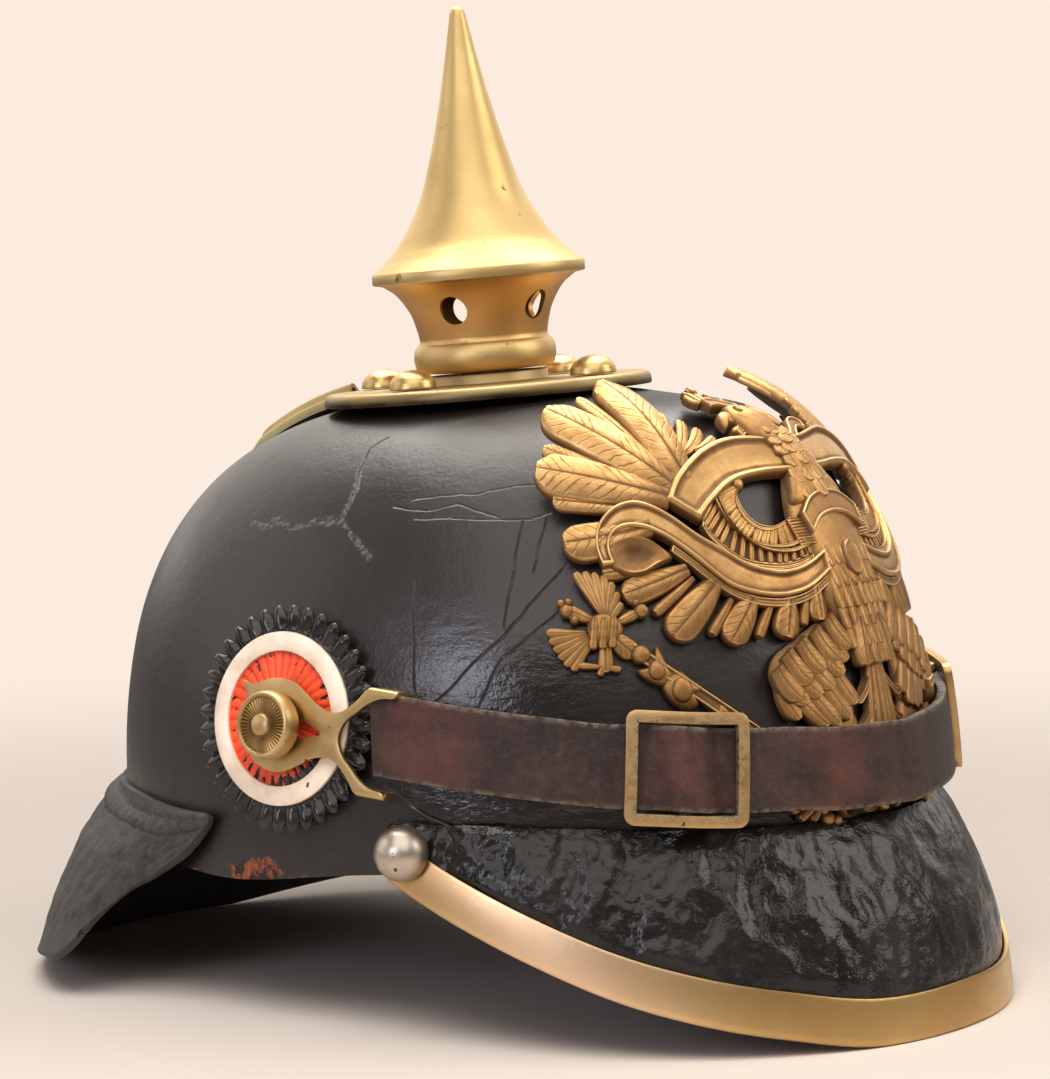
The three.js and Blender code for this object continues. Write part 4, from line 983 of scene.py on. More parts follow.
def roundel(name):
    piece, across, along = sheet_of(name, COCKADE_PETALS * 8, len(COCKADE_RINGS["radius"]) - 1)
    row = np.round(along * (len(COCKADE_RINGS["radius"]) - 1)).astype(int)
    radius = np.array(COCKADE_RINGS["radius"])[row]
    height = np.array(COCKADE_RINGS["height"])[row] + GAP
    turn = across * 2 * math.pi
    crest = 1 - np.abs(2 * ((across * COCKADE_PETALS) % 1) - 1) ** 1.9
    petal = radius > PETAL_ROOT
    pleat = radius < PLEAT_EDGE
    deep = np.where(petal, 1.5 * np.clip((radius - PETAL_ROOT) / 1.2, 0, 1),
                    np.where(pleat, 0.55 * radius / 15, 0))
    height = np.maximum(height - deep * (1 - crest), GAP + 0.45)
    scallop = np.where(petal, PETAL_SCALLOP * (1 - crest) * np.clip((radius - 21.6) / 4.7, 0, 1), 0)
    ring = radius.copy()
    worn = 0.65 + 0.35 * np.cos(turn + 0.9)
    radius = radius - scallop
    shape(piece, np.stack([radius * np.cos(turn), radius * np.sin(turn), height], axis=-1))
    note(piece, "ring", ring)
    note(piece, "valley", np.where(pleat, (1 - crest) * worn, 0.0))
    knocked = np.exp(-(np.sin((turn + 0.9) / 2) / 0.42) ** 2) + 0.25
    lost = 0.3 * np.exp(-((ring - 14.6) / 1.9) ** 2) * knocked
    note(piece, "lost", lost)
    weld(piece, 0.002)
    edit(piece, bpy.ops.mesh.flip_normals)
    finish_with(piece, "SOLIDIFY", thickness=COCKADE_WALL, offset=-1)
    return piece


side_arc = arc_at(SIDE_Z)
side_foot = on_skull(SIDE_ANGLE, side_arc, 0)
side_out = on_skull(SIDE_ANGLE, side_arc, 1) - side_foot
cockade = roundel("cockade_tin_right")
moved_to(cockade, side_foot, side_out)
far_cockade = mirrored(cockade, "cockade_tin_left")
cockade.data.materials.append(roundel_paint("roundel_paint_red", (0.88, 0.085, 0.022, 1)))
far_cockade.data.materials.append(roundel_paint("roundel_paint_black", (0.012, 0.011, 0.01, 1)))
set_down_pair(cockade, far_cockade, "cockade_paint", "cockade", smooth=50)

# Side posts. Brass screws with a drum head through each cockade; the face is struck with fine rays
# round a small button, inside a raised rim.
POST_RAYS = 44
POST_SHIFT = np.array([2.0, -1.6, -0.4])
FITTING_COLOURS = ((0.64, 0.45, 0.205, 1), (0.47, 0.32, 0.15, 1), (0.1, 0.06, 0.03, 1))
FITTING_BRASS = brass("fitting_brass", *FITTING_COLOURS, 0.34, 0.5, 90.0, 420.0, 0.7,
                      marked=FITTING_COLOURS[2])
POST_RINGS = [(0, GAP), (3, GAP), (3, 7), (6.6, 7.1), (7.3, 7.5), (7.8, 8.3), (7.95, 9.4), (7.9, 10.8),
              (7.6, 11.9), (7.35, 12.3), (7.05, 12.45), (6.7, 12.4), (6.45, 12.1), (6.35, 11.85),
              (5.2, 11.9), (4, 12), (3.05, 12.1), (2.75, 12.15), (2.6, 12.7), (2.3, 13.1), (1.6, 13.35),
              (0.8, 13.45), (0, 13.5)]
post = turned("side_post_brass_right", POST_RINGS, POST_RAYS * 4)
spots = points_of(post)
radius = np.hypot(spots[:, 0], spots[:, 1])
rays = np.cos(POST_RAYS * np.arctan2(spots[:, 1], spots[:, 0]))
face = (radius > 2.95) & (radius < 6.4) & (spots[:, 2] > 11.8)
spots[:, 2] += np.where(face, 0.24 * rays - 0.15, 0)
shape(post, spots + POST_SHIFT)
grime = np.where(face, 0.4 - 0.4 * rays, 0) + np.exp(-((radius - 2.9) / 0.3) ** 2) * (spots[:, 2] > 11.5)
note(post, "mark", np.clip(grime, 0, 0.85))
moved_to(post, side_foot, side_out)
post.data.materials.append(FITTING_BRASS)
far_post = mirrored(post, "side_post_brass_left")
set_down_pair(post, far_post, "fitting_brass", "side_post", smooth=30)

# Strap hooks. Flat brass eyes on the posts, forked towards the strap, with a claw bent over each of
# its edges; the eye runs out to a teardrop between the arms.
HOOK_LOW, HOOK_WALL = 4.9, 1.3
CLAW_AT, CLAW_BEND = 11.2, 1.4
HOOK_TURN = math.atan2(73.05 - SIDE_Z, 24)
HOOK_ARM = [(7, 8.2), (11, 6), (14.6, 5.2), (17.6, 5.8), (20.4, 7.8), (22.8, 10.4), (24.6, 13.4),
            (25.6, 16.4), (28.6, 16.6), (31.2, 16.2), (31.8, 13.4), (31.4, 10.8), (28, 10.2), (24.8, 8.6),
            (22.2, 6.4), (20, 4.6), (18.4, 2.4)]
HOOK_EDGE = [(-12.4, 8.6), (-9.2, 8.2), (-4, 10.4), (2, 10.6)] + HOOK_ARM + [(17.8, 0)]
HOOK_EDGE += [(x, -y) for x, y in HOOK_ARM[::-1]]
HOOK_EDGE += [(2, -10.6), (-4, -10.2), (-8.6, -7), (-10.4, -1.6), (-10.2, 4)]


def outline_face(name, points):
    """A flat face with the given outline, from a filled circle."""
    bpy.ops.object.select_all(action="DESELECT")
    bpy.ops.mesh.primitive_circle_add(vertices=len(points), radius=1, fill_type="NGON")
    piece = bpy.context.object
    piece.name = name
    shape(piece, np.column_stack([points, np.zeros(len(points))]))
    face_out(piece)
    return piece


def raised(piece, height):
    edit(piece, lambda: bpy.ops.mesh.extrude_region_move(TRANSFORM_OT_translate={"value": (0, 0, height)}),
         lambda: bpy.ops.mesh.select_all(action="SELECT"),
         lambda: bpy.ops.mesh.normals_make_consistent(inside=False))


def cut_across(piece, places):
    """New edges right across a piece, so that it can bend there."""
    for y in places:
        edit(piece, lambda: bpy.ops.mesh.bisect(plane_co=(0, y, 0), plane_no=(0, 1, 0)))


hook = outline_face("strap_hook_brass_right", smoothed(HOOK_EDGE, 4, closed=True))
raised(hook, HOOK_WALL)
tear = [(4 * math.cos(t), 4 * math.sin(t)) for t in np.linspace(0.9, 2 * math.pi - 0.9, 22)]
tear += [(12.4, -0.4), (12.4, 0.4)]
cutter = outline_face("hook_eye", tear)
raised(cutter, HOOK_WALL + 2)
shift(cutter, (0, 0, -1))
finish_with(hook, "BOOLEAN", object=cutter, operation="DIFFERENCE", solver="EXACT")
bpy.data.objects.remove(cutter)
ease_edges(hook, 0.28)
edit(hook, lambda: bpy.ops.mesh.quads_convert_to_tris(ngon_method="BEAUTY"))
cut_across(hook, (-13.4, -12.9, -12.4, -11.9, -11.4, 11.4, 11.9, 12.4, 12.9, 13.4))
spots = points_of(hook)
past = np.maximum(np.abs(spots[:, 1]) - CLAW_AT, 0)
bend = np.minimum(past / CLAW_BEND, math.pi / 2)
rest = np.maximum(past - CLAW_BEND * math.pi / 2, 0)
depth = HOOK_WALL - spots[:, 2]
reach = np.where(past > 0, CLAW_AT + (CLAW_BEND - depth * 0.4) * np.sin(bend) * 0.9, np.abs(spots[:, 1]))
drop = np.where(past > 0, CLAW_BEND * (1 - np.cos(bend)) + rest, 0)
fall = np.maximum(spots[:, 0] - 12, 0) ** 2 / 260
spots = np.stack([spots[:, 0], np.sign(spots[:, 1]) * reach - depth * np.sin(bend) * np.sign(spots[:, 1]),
                  spots[:, 2] + HOOK_LOW - drop - fall], axis=-1)
shape(hook, spots @ spun(HOOK_TURN) + POST_SHIFT)
moved_to(hook, side_foot, side_out)
hook.data.materials.append(FITTING_BRASS)
far_hook = mirrored(hook, "strap_hook_brass_left")
set_down_pair(hook, far_hook, "fitting_brass", "strap_hook")

# Chin strap. A flat strap of dyed leather from hook to hook across the front, with its raw edges gone
# pale; it rises over each buckle's middle bar.
STRAP_WIDTH, STRAP_WALL, STRAP_END = 18.6, 2.2, 78.6
STRAP_LINE = ((0, 17, 37, 50, 67, 78), (55.5, 57, 60.5, 63.5, 69, 73.2))
STRAP_STAND = ((0, 25, 45, 78), (5.6, 5.3, 5, 5.2))
STRAP_PER_DEGREE = 1.72
BUCKLE_ANGLE, STRAP_BULGE = 38.5, 3.0
BULGE_FLAT, BULGE_RUN = 2.2, 6.0
STRAP_RUBS = ((1, 72, 5), (0.8, 39, 3.5), (0.8, 14, 9))


def strap_middle(angle):
    return arc_at(np.interp(np.abs(angle), *STRAP_LINE))


def strap_stand(angle):
    return np.interp(np.abs(angle), *STRAP_STAND)


def dyed_strap(name):
    finish, tree, surface = new_finish(name)
    spot = spot_of(tree)
    edge = noted(tree, "edge")
    red = noted(tree, "rubbed")
    mottle = between(tree, noise_of(tree, spot, 90.0, 5.0, 0.65), 0.35, 0.68)
    grain = noise_of(tree, spot, 1000.0, 5.0, 0.75)
    rubs = between(tree, noise_of(tree, spot, 420.0, 4.0, 0.7), 0.5, 0.75)
    hue = blended(tree, mottle, (0.014, 0.0088, 0.0084, 1), (0.045, 0.0225, 0.0195, 1))
    red = maths(tree, "MULTIPLY", red, between(tree, mottle, 0, 1, 0.15, 0.7))
    hue = blended(tree, red, hue, (0.115, 0.034, 0.023, 1))
    hue = blended(tree, maths(tree, "MULTIPLY", rubs, 0.5), hue, (0.085, 0.052, 0.045, 1))
    fuzz = maths(tree, "MULTIPLY", edge, between(tree, noise_of(tree, spot, 500.0, 4.0, 0.7), 0.38, 0.6))
    hue = blended(tree, fuzz, hue, (0.16, 0.125, 0.09, 1))
    tree.links.new(hue, surface.inputs["Base Color"])
    surface.inputs["Specular IOR Level"].default_value = 0.3
    tree.links.new(between(tree, mottle, 0, 1, 0.36, 0.54), surface.inputs["Roughness"])
    relief(tree, surface, grain, 0.6, 0.0006)
    return finish


strap, along, across = sheet_of("chin_strap_leather", 300, 14)
angle = STRAP_END * (1 - 2 * along)
off = np.abs((np.abs(angle) - BUCKLE_ANGLE) * STRAP_PER_DEGREE)
fall = 0.5 + 0.5 * np.cos(math.pi * np.clip((off - BULGE_FLAT) / BULGE_RUN, 0, 1))
lift = STRAP_BULGE * np.where(off < BULGE_FLAT + BULGE_RUN, fall, 0)
edge = np.abs(2 * across - 1)
sway = np.array([noise.noise(Vector((a / 9, 2, 5))) for a in angle]) * 0.25
sag = np.array([noise.noise(Vector((a / 6, y * 2, 9))) for a, y in zip(angle, across)]) * 0.18
height = (across - 0.5) * STRAP_WIDTH + sway
shape(strap, on_skull(angle, strap_middle(angle) + height,
                      strap_stand(angle) + lift + STRAP_WALL + sag - 0.18))
note(strap, "edge", np.clip((edge - 0.9) / 0.1, 0, 1))
rubbed = sum(share * np.exp(-((angle - at) / wide) ** 2) for share, at, wide in STRAP_RUBS)
note(strap, "rubbed", np.clip(rubbed, 0, 1))
finish_with(strap, "SOLIDIFY", thickness=STRAP_WALL, offset=-1)
ease_edges(strap, 0.45)
strap.data.materials.append(dyed_strap("strap_leather"))
set_down(strap, "strap_leather", "chin_strap")

# Strap buckles. Flat square frames of cast brass on the strap, with a middle bar behind; verdigris has
# grown along their inner edges.
BUCKLE_LENGTH, BUCKLE_HEIGHT, BUCKLE_BAR = 27.6, 25.0, 2.6
BUCKLE_LOW, BUCKLE_HIGH, BUCKLE_CORNER = STRAP_WALL + 0.4, 4.5, 2.4
BAR_WIDTH, BAR_WALL, BAR_STAND = 3.0, 1.6, 0.35


def buckle_metal(name):
    finish, tree, surface = new_finish(name)
    age = aged(tree, 110.0, 520.0, 0.72)
    inner = noted(tree, "inner")
    spot = spot_of(tree)
    hue = blended(tree, age.outputs["Tarnish"], (0.64, 0.43, 0.2, 1), (0.52, 0.32, 0.14, 1))
    hue = blended(tree, age.outputs["Spot"], hue, (0.1, 0.05, 0.03, 1))
    crust = between(tree, noise_of(tree, spot, 380.0, 4.0, 0.7), 0.42, 0.6)
    green = maths(tree, "MULTIPLY", inner, crust)
    tree.links.new(blended(tree, green, hue, (0.012, 0.03, 0.03, 1)), surface.inputs["Base Color"])
    tree.links.new(between(tree, green, 0, 1, 1, 0), surface.inputs["Metallic"])
    tree.links.new(between(tree, green, 0, 1, 0.36, 0.75), surface.inputs["Roughness"])
    relief(tree, surface, age.outputs["Grain"], 0.15, 0.0002)
    return finish


def rounded_frame(half_x, half_y, corner, steps, sides):
    """Points round a rectangle with round corners, with extra points along its sides."""
    arcs = []
    for k, (x, y) in enumerate(((1, 1), (-1, 1), (-1, -1), (1, -1))):
        turn = np.radians(k * 90 + np.linspace(0, 90, steps))
        arcs.append(np.column_stack([x * (half_x - corner) + corner * np.cos(turn),
                                     y * (half_y - corner) + corner * np.sin(turn)]))
    points = []
    for arc, following in zip(arcs, arcs[1:] + arcs[:1]):
        points += list(arc)
        points += [arc[-1] + (following[0] - arc[-1]) * k / sides for k in range(1, sides)]
    return np.array(points)


outer = rounded_frame(BUCKLE_LENGTH / 2, BUCKLE_HEIGHT / 2, BUCKLE_CORNER, 7, 8)
inner = rounded_frame(BUCKLE_LENGTH / 2 - BUCKLE_BAR, BUCKLE_HEIGHT / 2 - BUCKLE_BAR, 0.3, 7, 8)
buckle = outline_face("strap_buckle_brass_right", outer)
edit(buckle, lambda: bpy.ops.mesh.inset(thickness=BUCKLE_BAR * 0.5, depth=0),
     lambda: bpy.ops.mesh.delete(type="ONLY_FACE"))
rim = len(outer)
spots = points_of(buckle)
spots[:rim, :2], spots[rim:, :2] = outer, inner
shape(buckle, spots)
raised(buckle, BUCKLE_HIGH - BUCKLE_LOW)
ease_edges(buckle, 0.3)
bpy.ops.object.select_all(action="DESELECT")
bpy.ops.mesh.primitive_cube_add(size=1)
bar = bpy.context.object
bar_size = np.array([BAR_WIDTH, BUCKLE_HEIGHT - 2 * BAR_WALL, BAR_WALL])
bar_place = np.array([0, 0, BAR_STAND + BAR_WALL / 2 - BUCKLE_LOW])
shape(bar, points_of(bar) * bar_size + bar_place)
cut_across(bar, (-9, -5, 0, 5, 9))
spots = points_of(bar)
spots[:, 2] += np.where(np.abs(spots[:, 1]) > 10, BUCKLE_LOW - 0.9, 0)
shape(bar, spots)
ease_edges(bar, 0.3, 40)
bpy.ops.object.select_all(action="DESELECT")
bar.select_set(True)
buckle.select_set(True)
bpy.context.view_layer.objects.active = buckle
bpy.ops.object.join()
spots = points_of(buckle)
gap_x = BUCKLE_LENGTH / 2 - BUCKLE_BAR - np.abs(spots[:, 0])
gap_y = BUCKLE_HEIGHT / 2 - BUCKLE_BAR - np.abs(spots[:, 1])
inside = np.clip(1 + np.minimum(gap_x, gap_y) / 0.3, 0, 1)
note(buckle, "inner", inside)
angle = BUCKLE_ANGLE + (spots[:, 0] - 0.12 * spots[:, 1]) / STRAP_PER_DEGREE
shape(buckle, on_skull(angle, strap_middle(angle) + spots[:, 1],
                       strap_stand(angle) + BUCKLE_LOW + spots[:, 2]))
face_out(buckle)
buckle.data.materials.append(buckle_metal("buckle_brass"))
far_buckle = mirrored(buckle, "strap_buckle_brass_left")
set_down_pair(buckle, far_buckle, "fitting_brass", "strap_buckle")

# Front plate. A spread eagle stamped from sheet brass, pierced beside the neck and gilt; it is laid out
# flat as overlapping feathers, ribbons and bosses, then bent round the skull and left standing off its top.
PLATE_PER_DEGREE, PLATE_TURN = 1.5, 1.7
PLATE_STAND = ((0, 45, 85, 130), (1.2, 1.4, 4.2, 4.8))
PLATE_AWAY, PLATE_FORWARD, PLATE_DROP = 7.6, 3.2, 3.6
plate_points, plate_faces, plate_wear_and_painted_light, plate_vane = [], [], [], []


def lay(front, low, wear_and_painted_light, vane=None):
    """Adds one closed piece of relief: its front as rows of columns, a plain back, sides and ends."""
    rows, columns = front.shape[:2]
    first = sum(len(p) for p in plate_points)
    back = front[:, [0, columns // 2, -1]].copy()
    back[..., 2] = low
    plate_points.append(np.concatenate([front.reshape(-1, 3), back.reshape(-1, 3)]))
    plate_wear_and_painted_light.append(np.concatenate([wear_and_painted_light.ravel(), np.zeros(rows * 3)]))
    vane = np.zeros((rows, columns, 3)) if vane is None else vane
    plate_vane.append(np.concatenate([vane.reshape(-1, 3), np.zeros((rows * 3, 3))]))
    at = lambda i, j: first + i * columns + j
    under = lambda i, j: first + rows * columns + i * 3 + j
    for i in range(rows - 1):
        for j in range(columns - 1):
            plate_faces.append((at(i, j), at(i, j + 1), at(i + 1, j + 1), at(i + 1, j)))
        for j in range(2):
            plate_faces.append((under(i, j), under(i + 1, j), under(i + 1, j + 1), under(i, j + 1)))
        plate_faces.append((at(i, 0), at(i + 1, 0), under(i + 1, 0), under(i, 0)))
        plate_faces.append((at(i + 1, columns - 1), at(i, columns - 1), under(i, 2), under(i + 1, 2)))
    for i in (0, rows - 1):
        plate_faces.append([at(i, j) for j in range(columns)] + [under(i, j) for j in (2, 1, 0)])


def feather(root, tip, width, base, rise, bow=0.0, narrow=0.55, tilt=0.0, columns=11, pitch=0.8, cut=1.0):
    """A soft-edged feather, creased along its shaft; a positive bow bends it to its left."""
    root, tip = np.array(root, float), np.array(tip, float)
    axis = tip - root
    length = np.linalg.norm(axis)
    side = np.array([-axis[1], axis[0]]) / length
    full = 1 - 0.5 * min(width / length, 0.56)
    t = 1 - (1 - np.linspace(0, 1, max(8, int(length / pitch)))) ** 1.25
    swell = narrow + (1 - narrow) * np.sin(np.minimum(t / full, 1) * math.pi / 2)
    round_end = np.sqrt(np.maximum(1 - ((t - full) / (1.003 - full)) ** 2, 0))
    half = width / 2 * np.where(t < full, swell, round_end)
    t, s = np.meshgrid(t, np.linspace(-1, 1, columns), indexing="ij")
    half = half[:, None]
    off = np.abs(s) * half
    fine = min(1.15, width / 8)
    rim = np.minimum((1 - np.abs(s)) * half, (1 - t) * length + 0.04) / fine
    crease = np.exp(-(off / (0.34 * fine)) ** 2) * (1 - 0.7 * t)
    shoulder = np.exp(-((off / fine - 1.2) / 0.7) ** 2) * (1 - 0.7 * t)
    lip = np.exp(-((rim - 0.5) / 0.35) ** 2)
    height = rise * (0.25 + 0.75 * np.sqrt(1 - 0.94 * s * s)) * ramp(rim, -0.1, 0.6)
    height += fine * cut * (0.14 * shoulder - 0.2 * crease + 0.08 * lip)
    slant = (t * length - 1.2 * off + 0.05 * off * off) / (2.4 * fine)
    vane = np.stack([slant, off / fine, ramp(rim, 0.5, 1.4) * cut * min(1, width / 4)], axis=-1)
    spots = root + axis * t[..., None] + side * (bow * 4 * t * (1 - t) + s * half)[..., None]
    level = base + height + tilt * (t - 0.5)
    # The feather's value carries painted light: lighter on its lip and shoulders as painted highlight,
    # darker in the shaft crease, along its edges and at its root under the feather over it as painted
    # shade.
    wear_and_painted_light = 0.6 + cut * (0.2 * lip + 0.2 * shoulder - 0.16 * crease)
    wear_and_painted_light *= (0.08 + 0.92 * ramp(rim, -0.05, 0.3)) * (0.5 + 0.5 * ramp(t, 0, 0.3))
    lay(np.concatenate([spots, level[..., None]], axis=-1), max(base - 1.3, -0.2), wear_and_painted_light, vane)


RIBBON_STEPS = np.array([0, 0.12, 0.3, 0.55, 0.8, 1.05, 1.3, 1.55, 1.9, 2.4])
RIM_HEIGHT = ((0, 0.15, 0.4, 0.8, 1.05, 1.35, 1.6, 2, 2.4), (0, 0.55, 0.9, 1, 0.9, 0.3, -0.1, -0.1, 0))


def ribbon(upper, lower, base, rise, border=1.0, per=9, field=0.42, lip=0.7, ends=True):
    """A band between two lines, with a raised rim, a line of painted shade in the groove inside it and a
    bare field.
    """
    upper, lower = smoothed(upper, per), smoothed(lower, per)
    share = lambda line: np.linspace(0, 1, len(line))
    fit = lambda line, at: np.stack([np.interp(at, share(line), line[:, k]) for k in (0, 1)], axis=-1)
    middle = (fit(upper, share(upper)) + fit(lower, share(upper))) / 2
    run = np.concatenate([[0], np.cumsum(np.linalg.norm(np.diff(middle, axis=0), axis=-1))])
    total, close = run[-1], RIBBON_STEPS * min(border, run[-1] / 6)
    stops = np.linspace(close[-1], total - close[-1], max(3, int(total / 1.4)))
    stops = np.concatenate([close[:-1], stops, total - close[-2::-1]])
    at = np.interp(stops, run, share(upper))
    upper, lower = fit(upper, at), fit(lower, at)
    wide = np.linalg.norm(lower - upper, axis=-1)[:, None]
    local = np.minimum(border, wide / 5.4)
    first = RIBBON_STEPS[None] * local / wide
    inner = first[:, -1:] + (1 - 2 * first[:, -1:]) * np.array([[0.25, 0.5, 0.75]])
    s = np.concatenate([first, inner, 1 - first[:, ::-1]], axis=1)
    spots = upper[:, None] + (lower - upper)[:, None] * s[..., None]
    edge = np.minimum(s, 1 - s) * wide / local
    if ends:
        edge = np.minimum(edge, np.minimum(stops, total - stops)[:, None] / close[-1] * 2.4)
    height = rise * ramp(edge, -0.05, 0.4) + lip * local * np.interp(edge, *RIM_HEIGHT)
    # Painted shade darkens the groove inside the rim and the band's very edge; the rim's crest is painted
    # lighter as highlight.
    wear_and_painted_light = np.interp(edge, (0, 0.3, 0.7, 1.0, 1.35, 1.7, 2.3), (0.2, 0.7, 1, 0.95, 0.2, 0.04, field))
    lay(np.concatenate([spots, (base + height)[..., None]], axis=-1), max(base - 1.3, -0.2), wear_and_painted_light)


def boss(outline, base, rise, centre=None, rim=0.0, dish=0.0, rings=8, per=4, mark=0.0):
    """A rounded lump inside an outline, with an optional raised rim and dished middle."""
    edge = smoothed(outline, per, closed=True)
    centre = edge.mean(axis=0) if centre is None else np.array(centre, float)
    first = sum(len(p) for p in plate_points)
    count = len(edge)
    share = np.linspace(1, 0.04, rings)
    reach = np.linalg.norm(edge - centre, axis=-1)[None] * (1 - share[:, None])
    height = rise * np.sqrt(np.maximum(1 - share[:, None] ** 2.4, 0))
    bead = np.exp(-((reach - 0.6) / 0.35) ** 2)
    height = height * (1 - dish * ramp(1 - share, 0.25, 0.9)[:, None]) + rim * bead
    spots = centre + (edge - centre)[None] * share[:, None, None]
    # Painted shade darkens the lump's edge, its dish and the whole of a lump given a mark; painted
    # highlight lightens its raised rim.
    wear_and_painted_light = 0.55 * ramp(reach, -0.05, 0.5) + 0.35 * rim * bead - 0.3 * dish * (1 - share[:, None]) - mark
    front = np.concatenate([spots, (base + height)[..., None]], axis=-1).reshape(-1, 3)
    low = max(base - 1.3, -0.2)
    back = np.column_stack([edge, np.full(count, low)])
    plate_points.append(np.concatenate([front, back, [[*centre, low]]]))
    plate_wear_and_painted_light.append(np.concatenate([wear_and_painted_light.ravel(), np.zeros(count + 1)]))
    plate_vane.append(np.zeros((len(front) + count + 1, 3)))
    for k in range(count):
        n = (k + 1) % count
        for i in range(rings - 1):
            a, b = first + i * count, first + (i + 1) * count
            plate_faces.append((a + k, a + n, b + n, b + k))
        plate_faces.append((first + rings * count + k, first + rings * count + n, first + n, first + k))
        plate_faces.append((first + rings * count + n, first + rings * count + k,
                            first + (rings + 1) * count))
    plate_faces.append([first + (rings - 1) * count + k for k in range(count)])


def ring_round(x, y, radius, other=None, count=8):
    turn = np.arange(count) * 2 * math.pi / count
    return [(x + radius * math.cos(t), y + (other or radius) * math.sin(t)) for t in turn]


# The wing is drawn for the wearer's right and laid again, turned over, for the left.
BETWEEN_FEATHERS = [((40, 82), (38.4, 114.6), 5), ((43, 81), (57.8, 113), 5.4), ((46, 79), (74, 95.2), 5.6),
                    ((49, 76), (74.4, 80.8), 5)]
FLIGHTS = [((40.5, 82), (46.4, 118), 14.6, 0.6), ((44, 80.5), (70.8, 107), 14, 0.9),
           ((46.6, 78.2), (77.4, 88.2), 11.8, 0.5), ((53, 72), (74, 69.6), 9.2, -0.4)]
FRINGE = [((43, 86), (36.6, 102.4), 3.4), ((40, 88), (32, 99.4), 3.6), ((37.4, 89), (28.4, 96.4), 3.6),
          ((34, 89.6), (25.2, 93.6), 3.2), ((47, 80), (49.4, 88.6), 3.6), ((44.6, 82), (46.4, 91.4), 3.6),
          ((41.6, 84), (42.6, 93.6), 3.6), ((38.6, 86), (38.4, 94.6), 3.6)]
COVERTS = [((56, 63.4), (66.4, 62.4), 4, 1.2), ((47, 61.6), (62.8, 57.2), 6.6, 1.7),
           ((46, 59.6), (56.6, 52.6), 2.8, 1.3), ((41, 58), (53.8, 47), 8.4, 1.8),
           ((38, 54), (44.6, 46.6), 2.8, 1.3), ((32.6, 54), (40.8, 44.4), 7.6, 1.8),
           ((27.4, 53), (33.2, 44.8), 2.8, 1.3), ((22.6, 53), (26.2, 43.8), 7, 1.8),
           ((17.4, 53), (20.2, 46), 2.8, 1.3), ((14, 55), (15.2, 46.4), 5.8, 1.8)]
RIDGE = [(34.2, 77.4), (33.6, 72.6), (31, 67.6), (26, 64.4), (18.8, 63.4), (12.4, 64.6)]
LIP = [(26, 79.6), (28.2, 76.6), (27.8, 72.6), (25.4, 69.8), (21.6, 68.8), (18, 69.4), (14.6, 70.4)]
BARS_FOOT = [(40, 72), (38.6, 68.4), (33.6, 63), (27, 60.8), (20, 60.2), (11.8, 61.4)]
SCROLL_TOP = [(66, 63.4), (66.8, 68.6), (65, 73.6), (60.8, 77), (56, 78), (52, 76.8), (47.6, 73.8),
              (42.5, 69), (37.5, 65.2), (32.5, 61.6), (27.5, 59.8), (22.5, 59), (15.8, 59.8), (8, 62.4)]
SCROLL_LINE = [(63, 63.8), (63.6, 67), (62.6, 69.8), (59.8, 71.4), (56.4, 71.4), (53, 70.2), (49, 67.4),
               (44.6, 63), (38.6, 56.8), (33, 54.2), (27.5, 53), (22.8, 52.8), (16.6, 53.8), (8.4, 57)]
SCROLL_FOOT = [(50, 65.8), (46.6, 62.6), (43, 58.8), (38, 54.6), (32.6, 52), (27.4, 51), (22.6, 50.8),
               (16.4, 51.8), (8.8, 54.8)]
POCKET = [(65.4, 65.4), (63.6, 68.4), (60, 69.8), (56.4, 69.8), (53, 68.2), (49.6, 64.6), (53.4, 62.8),
          (57.6, 61), (62, 61.6)]


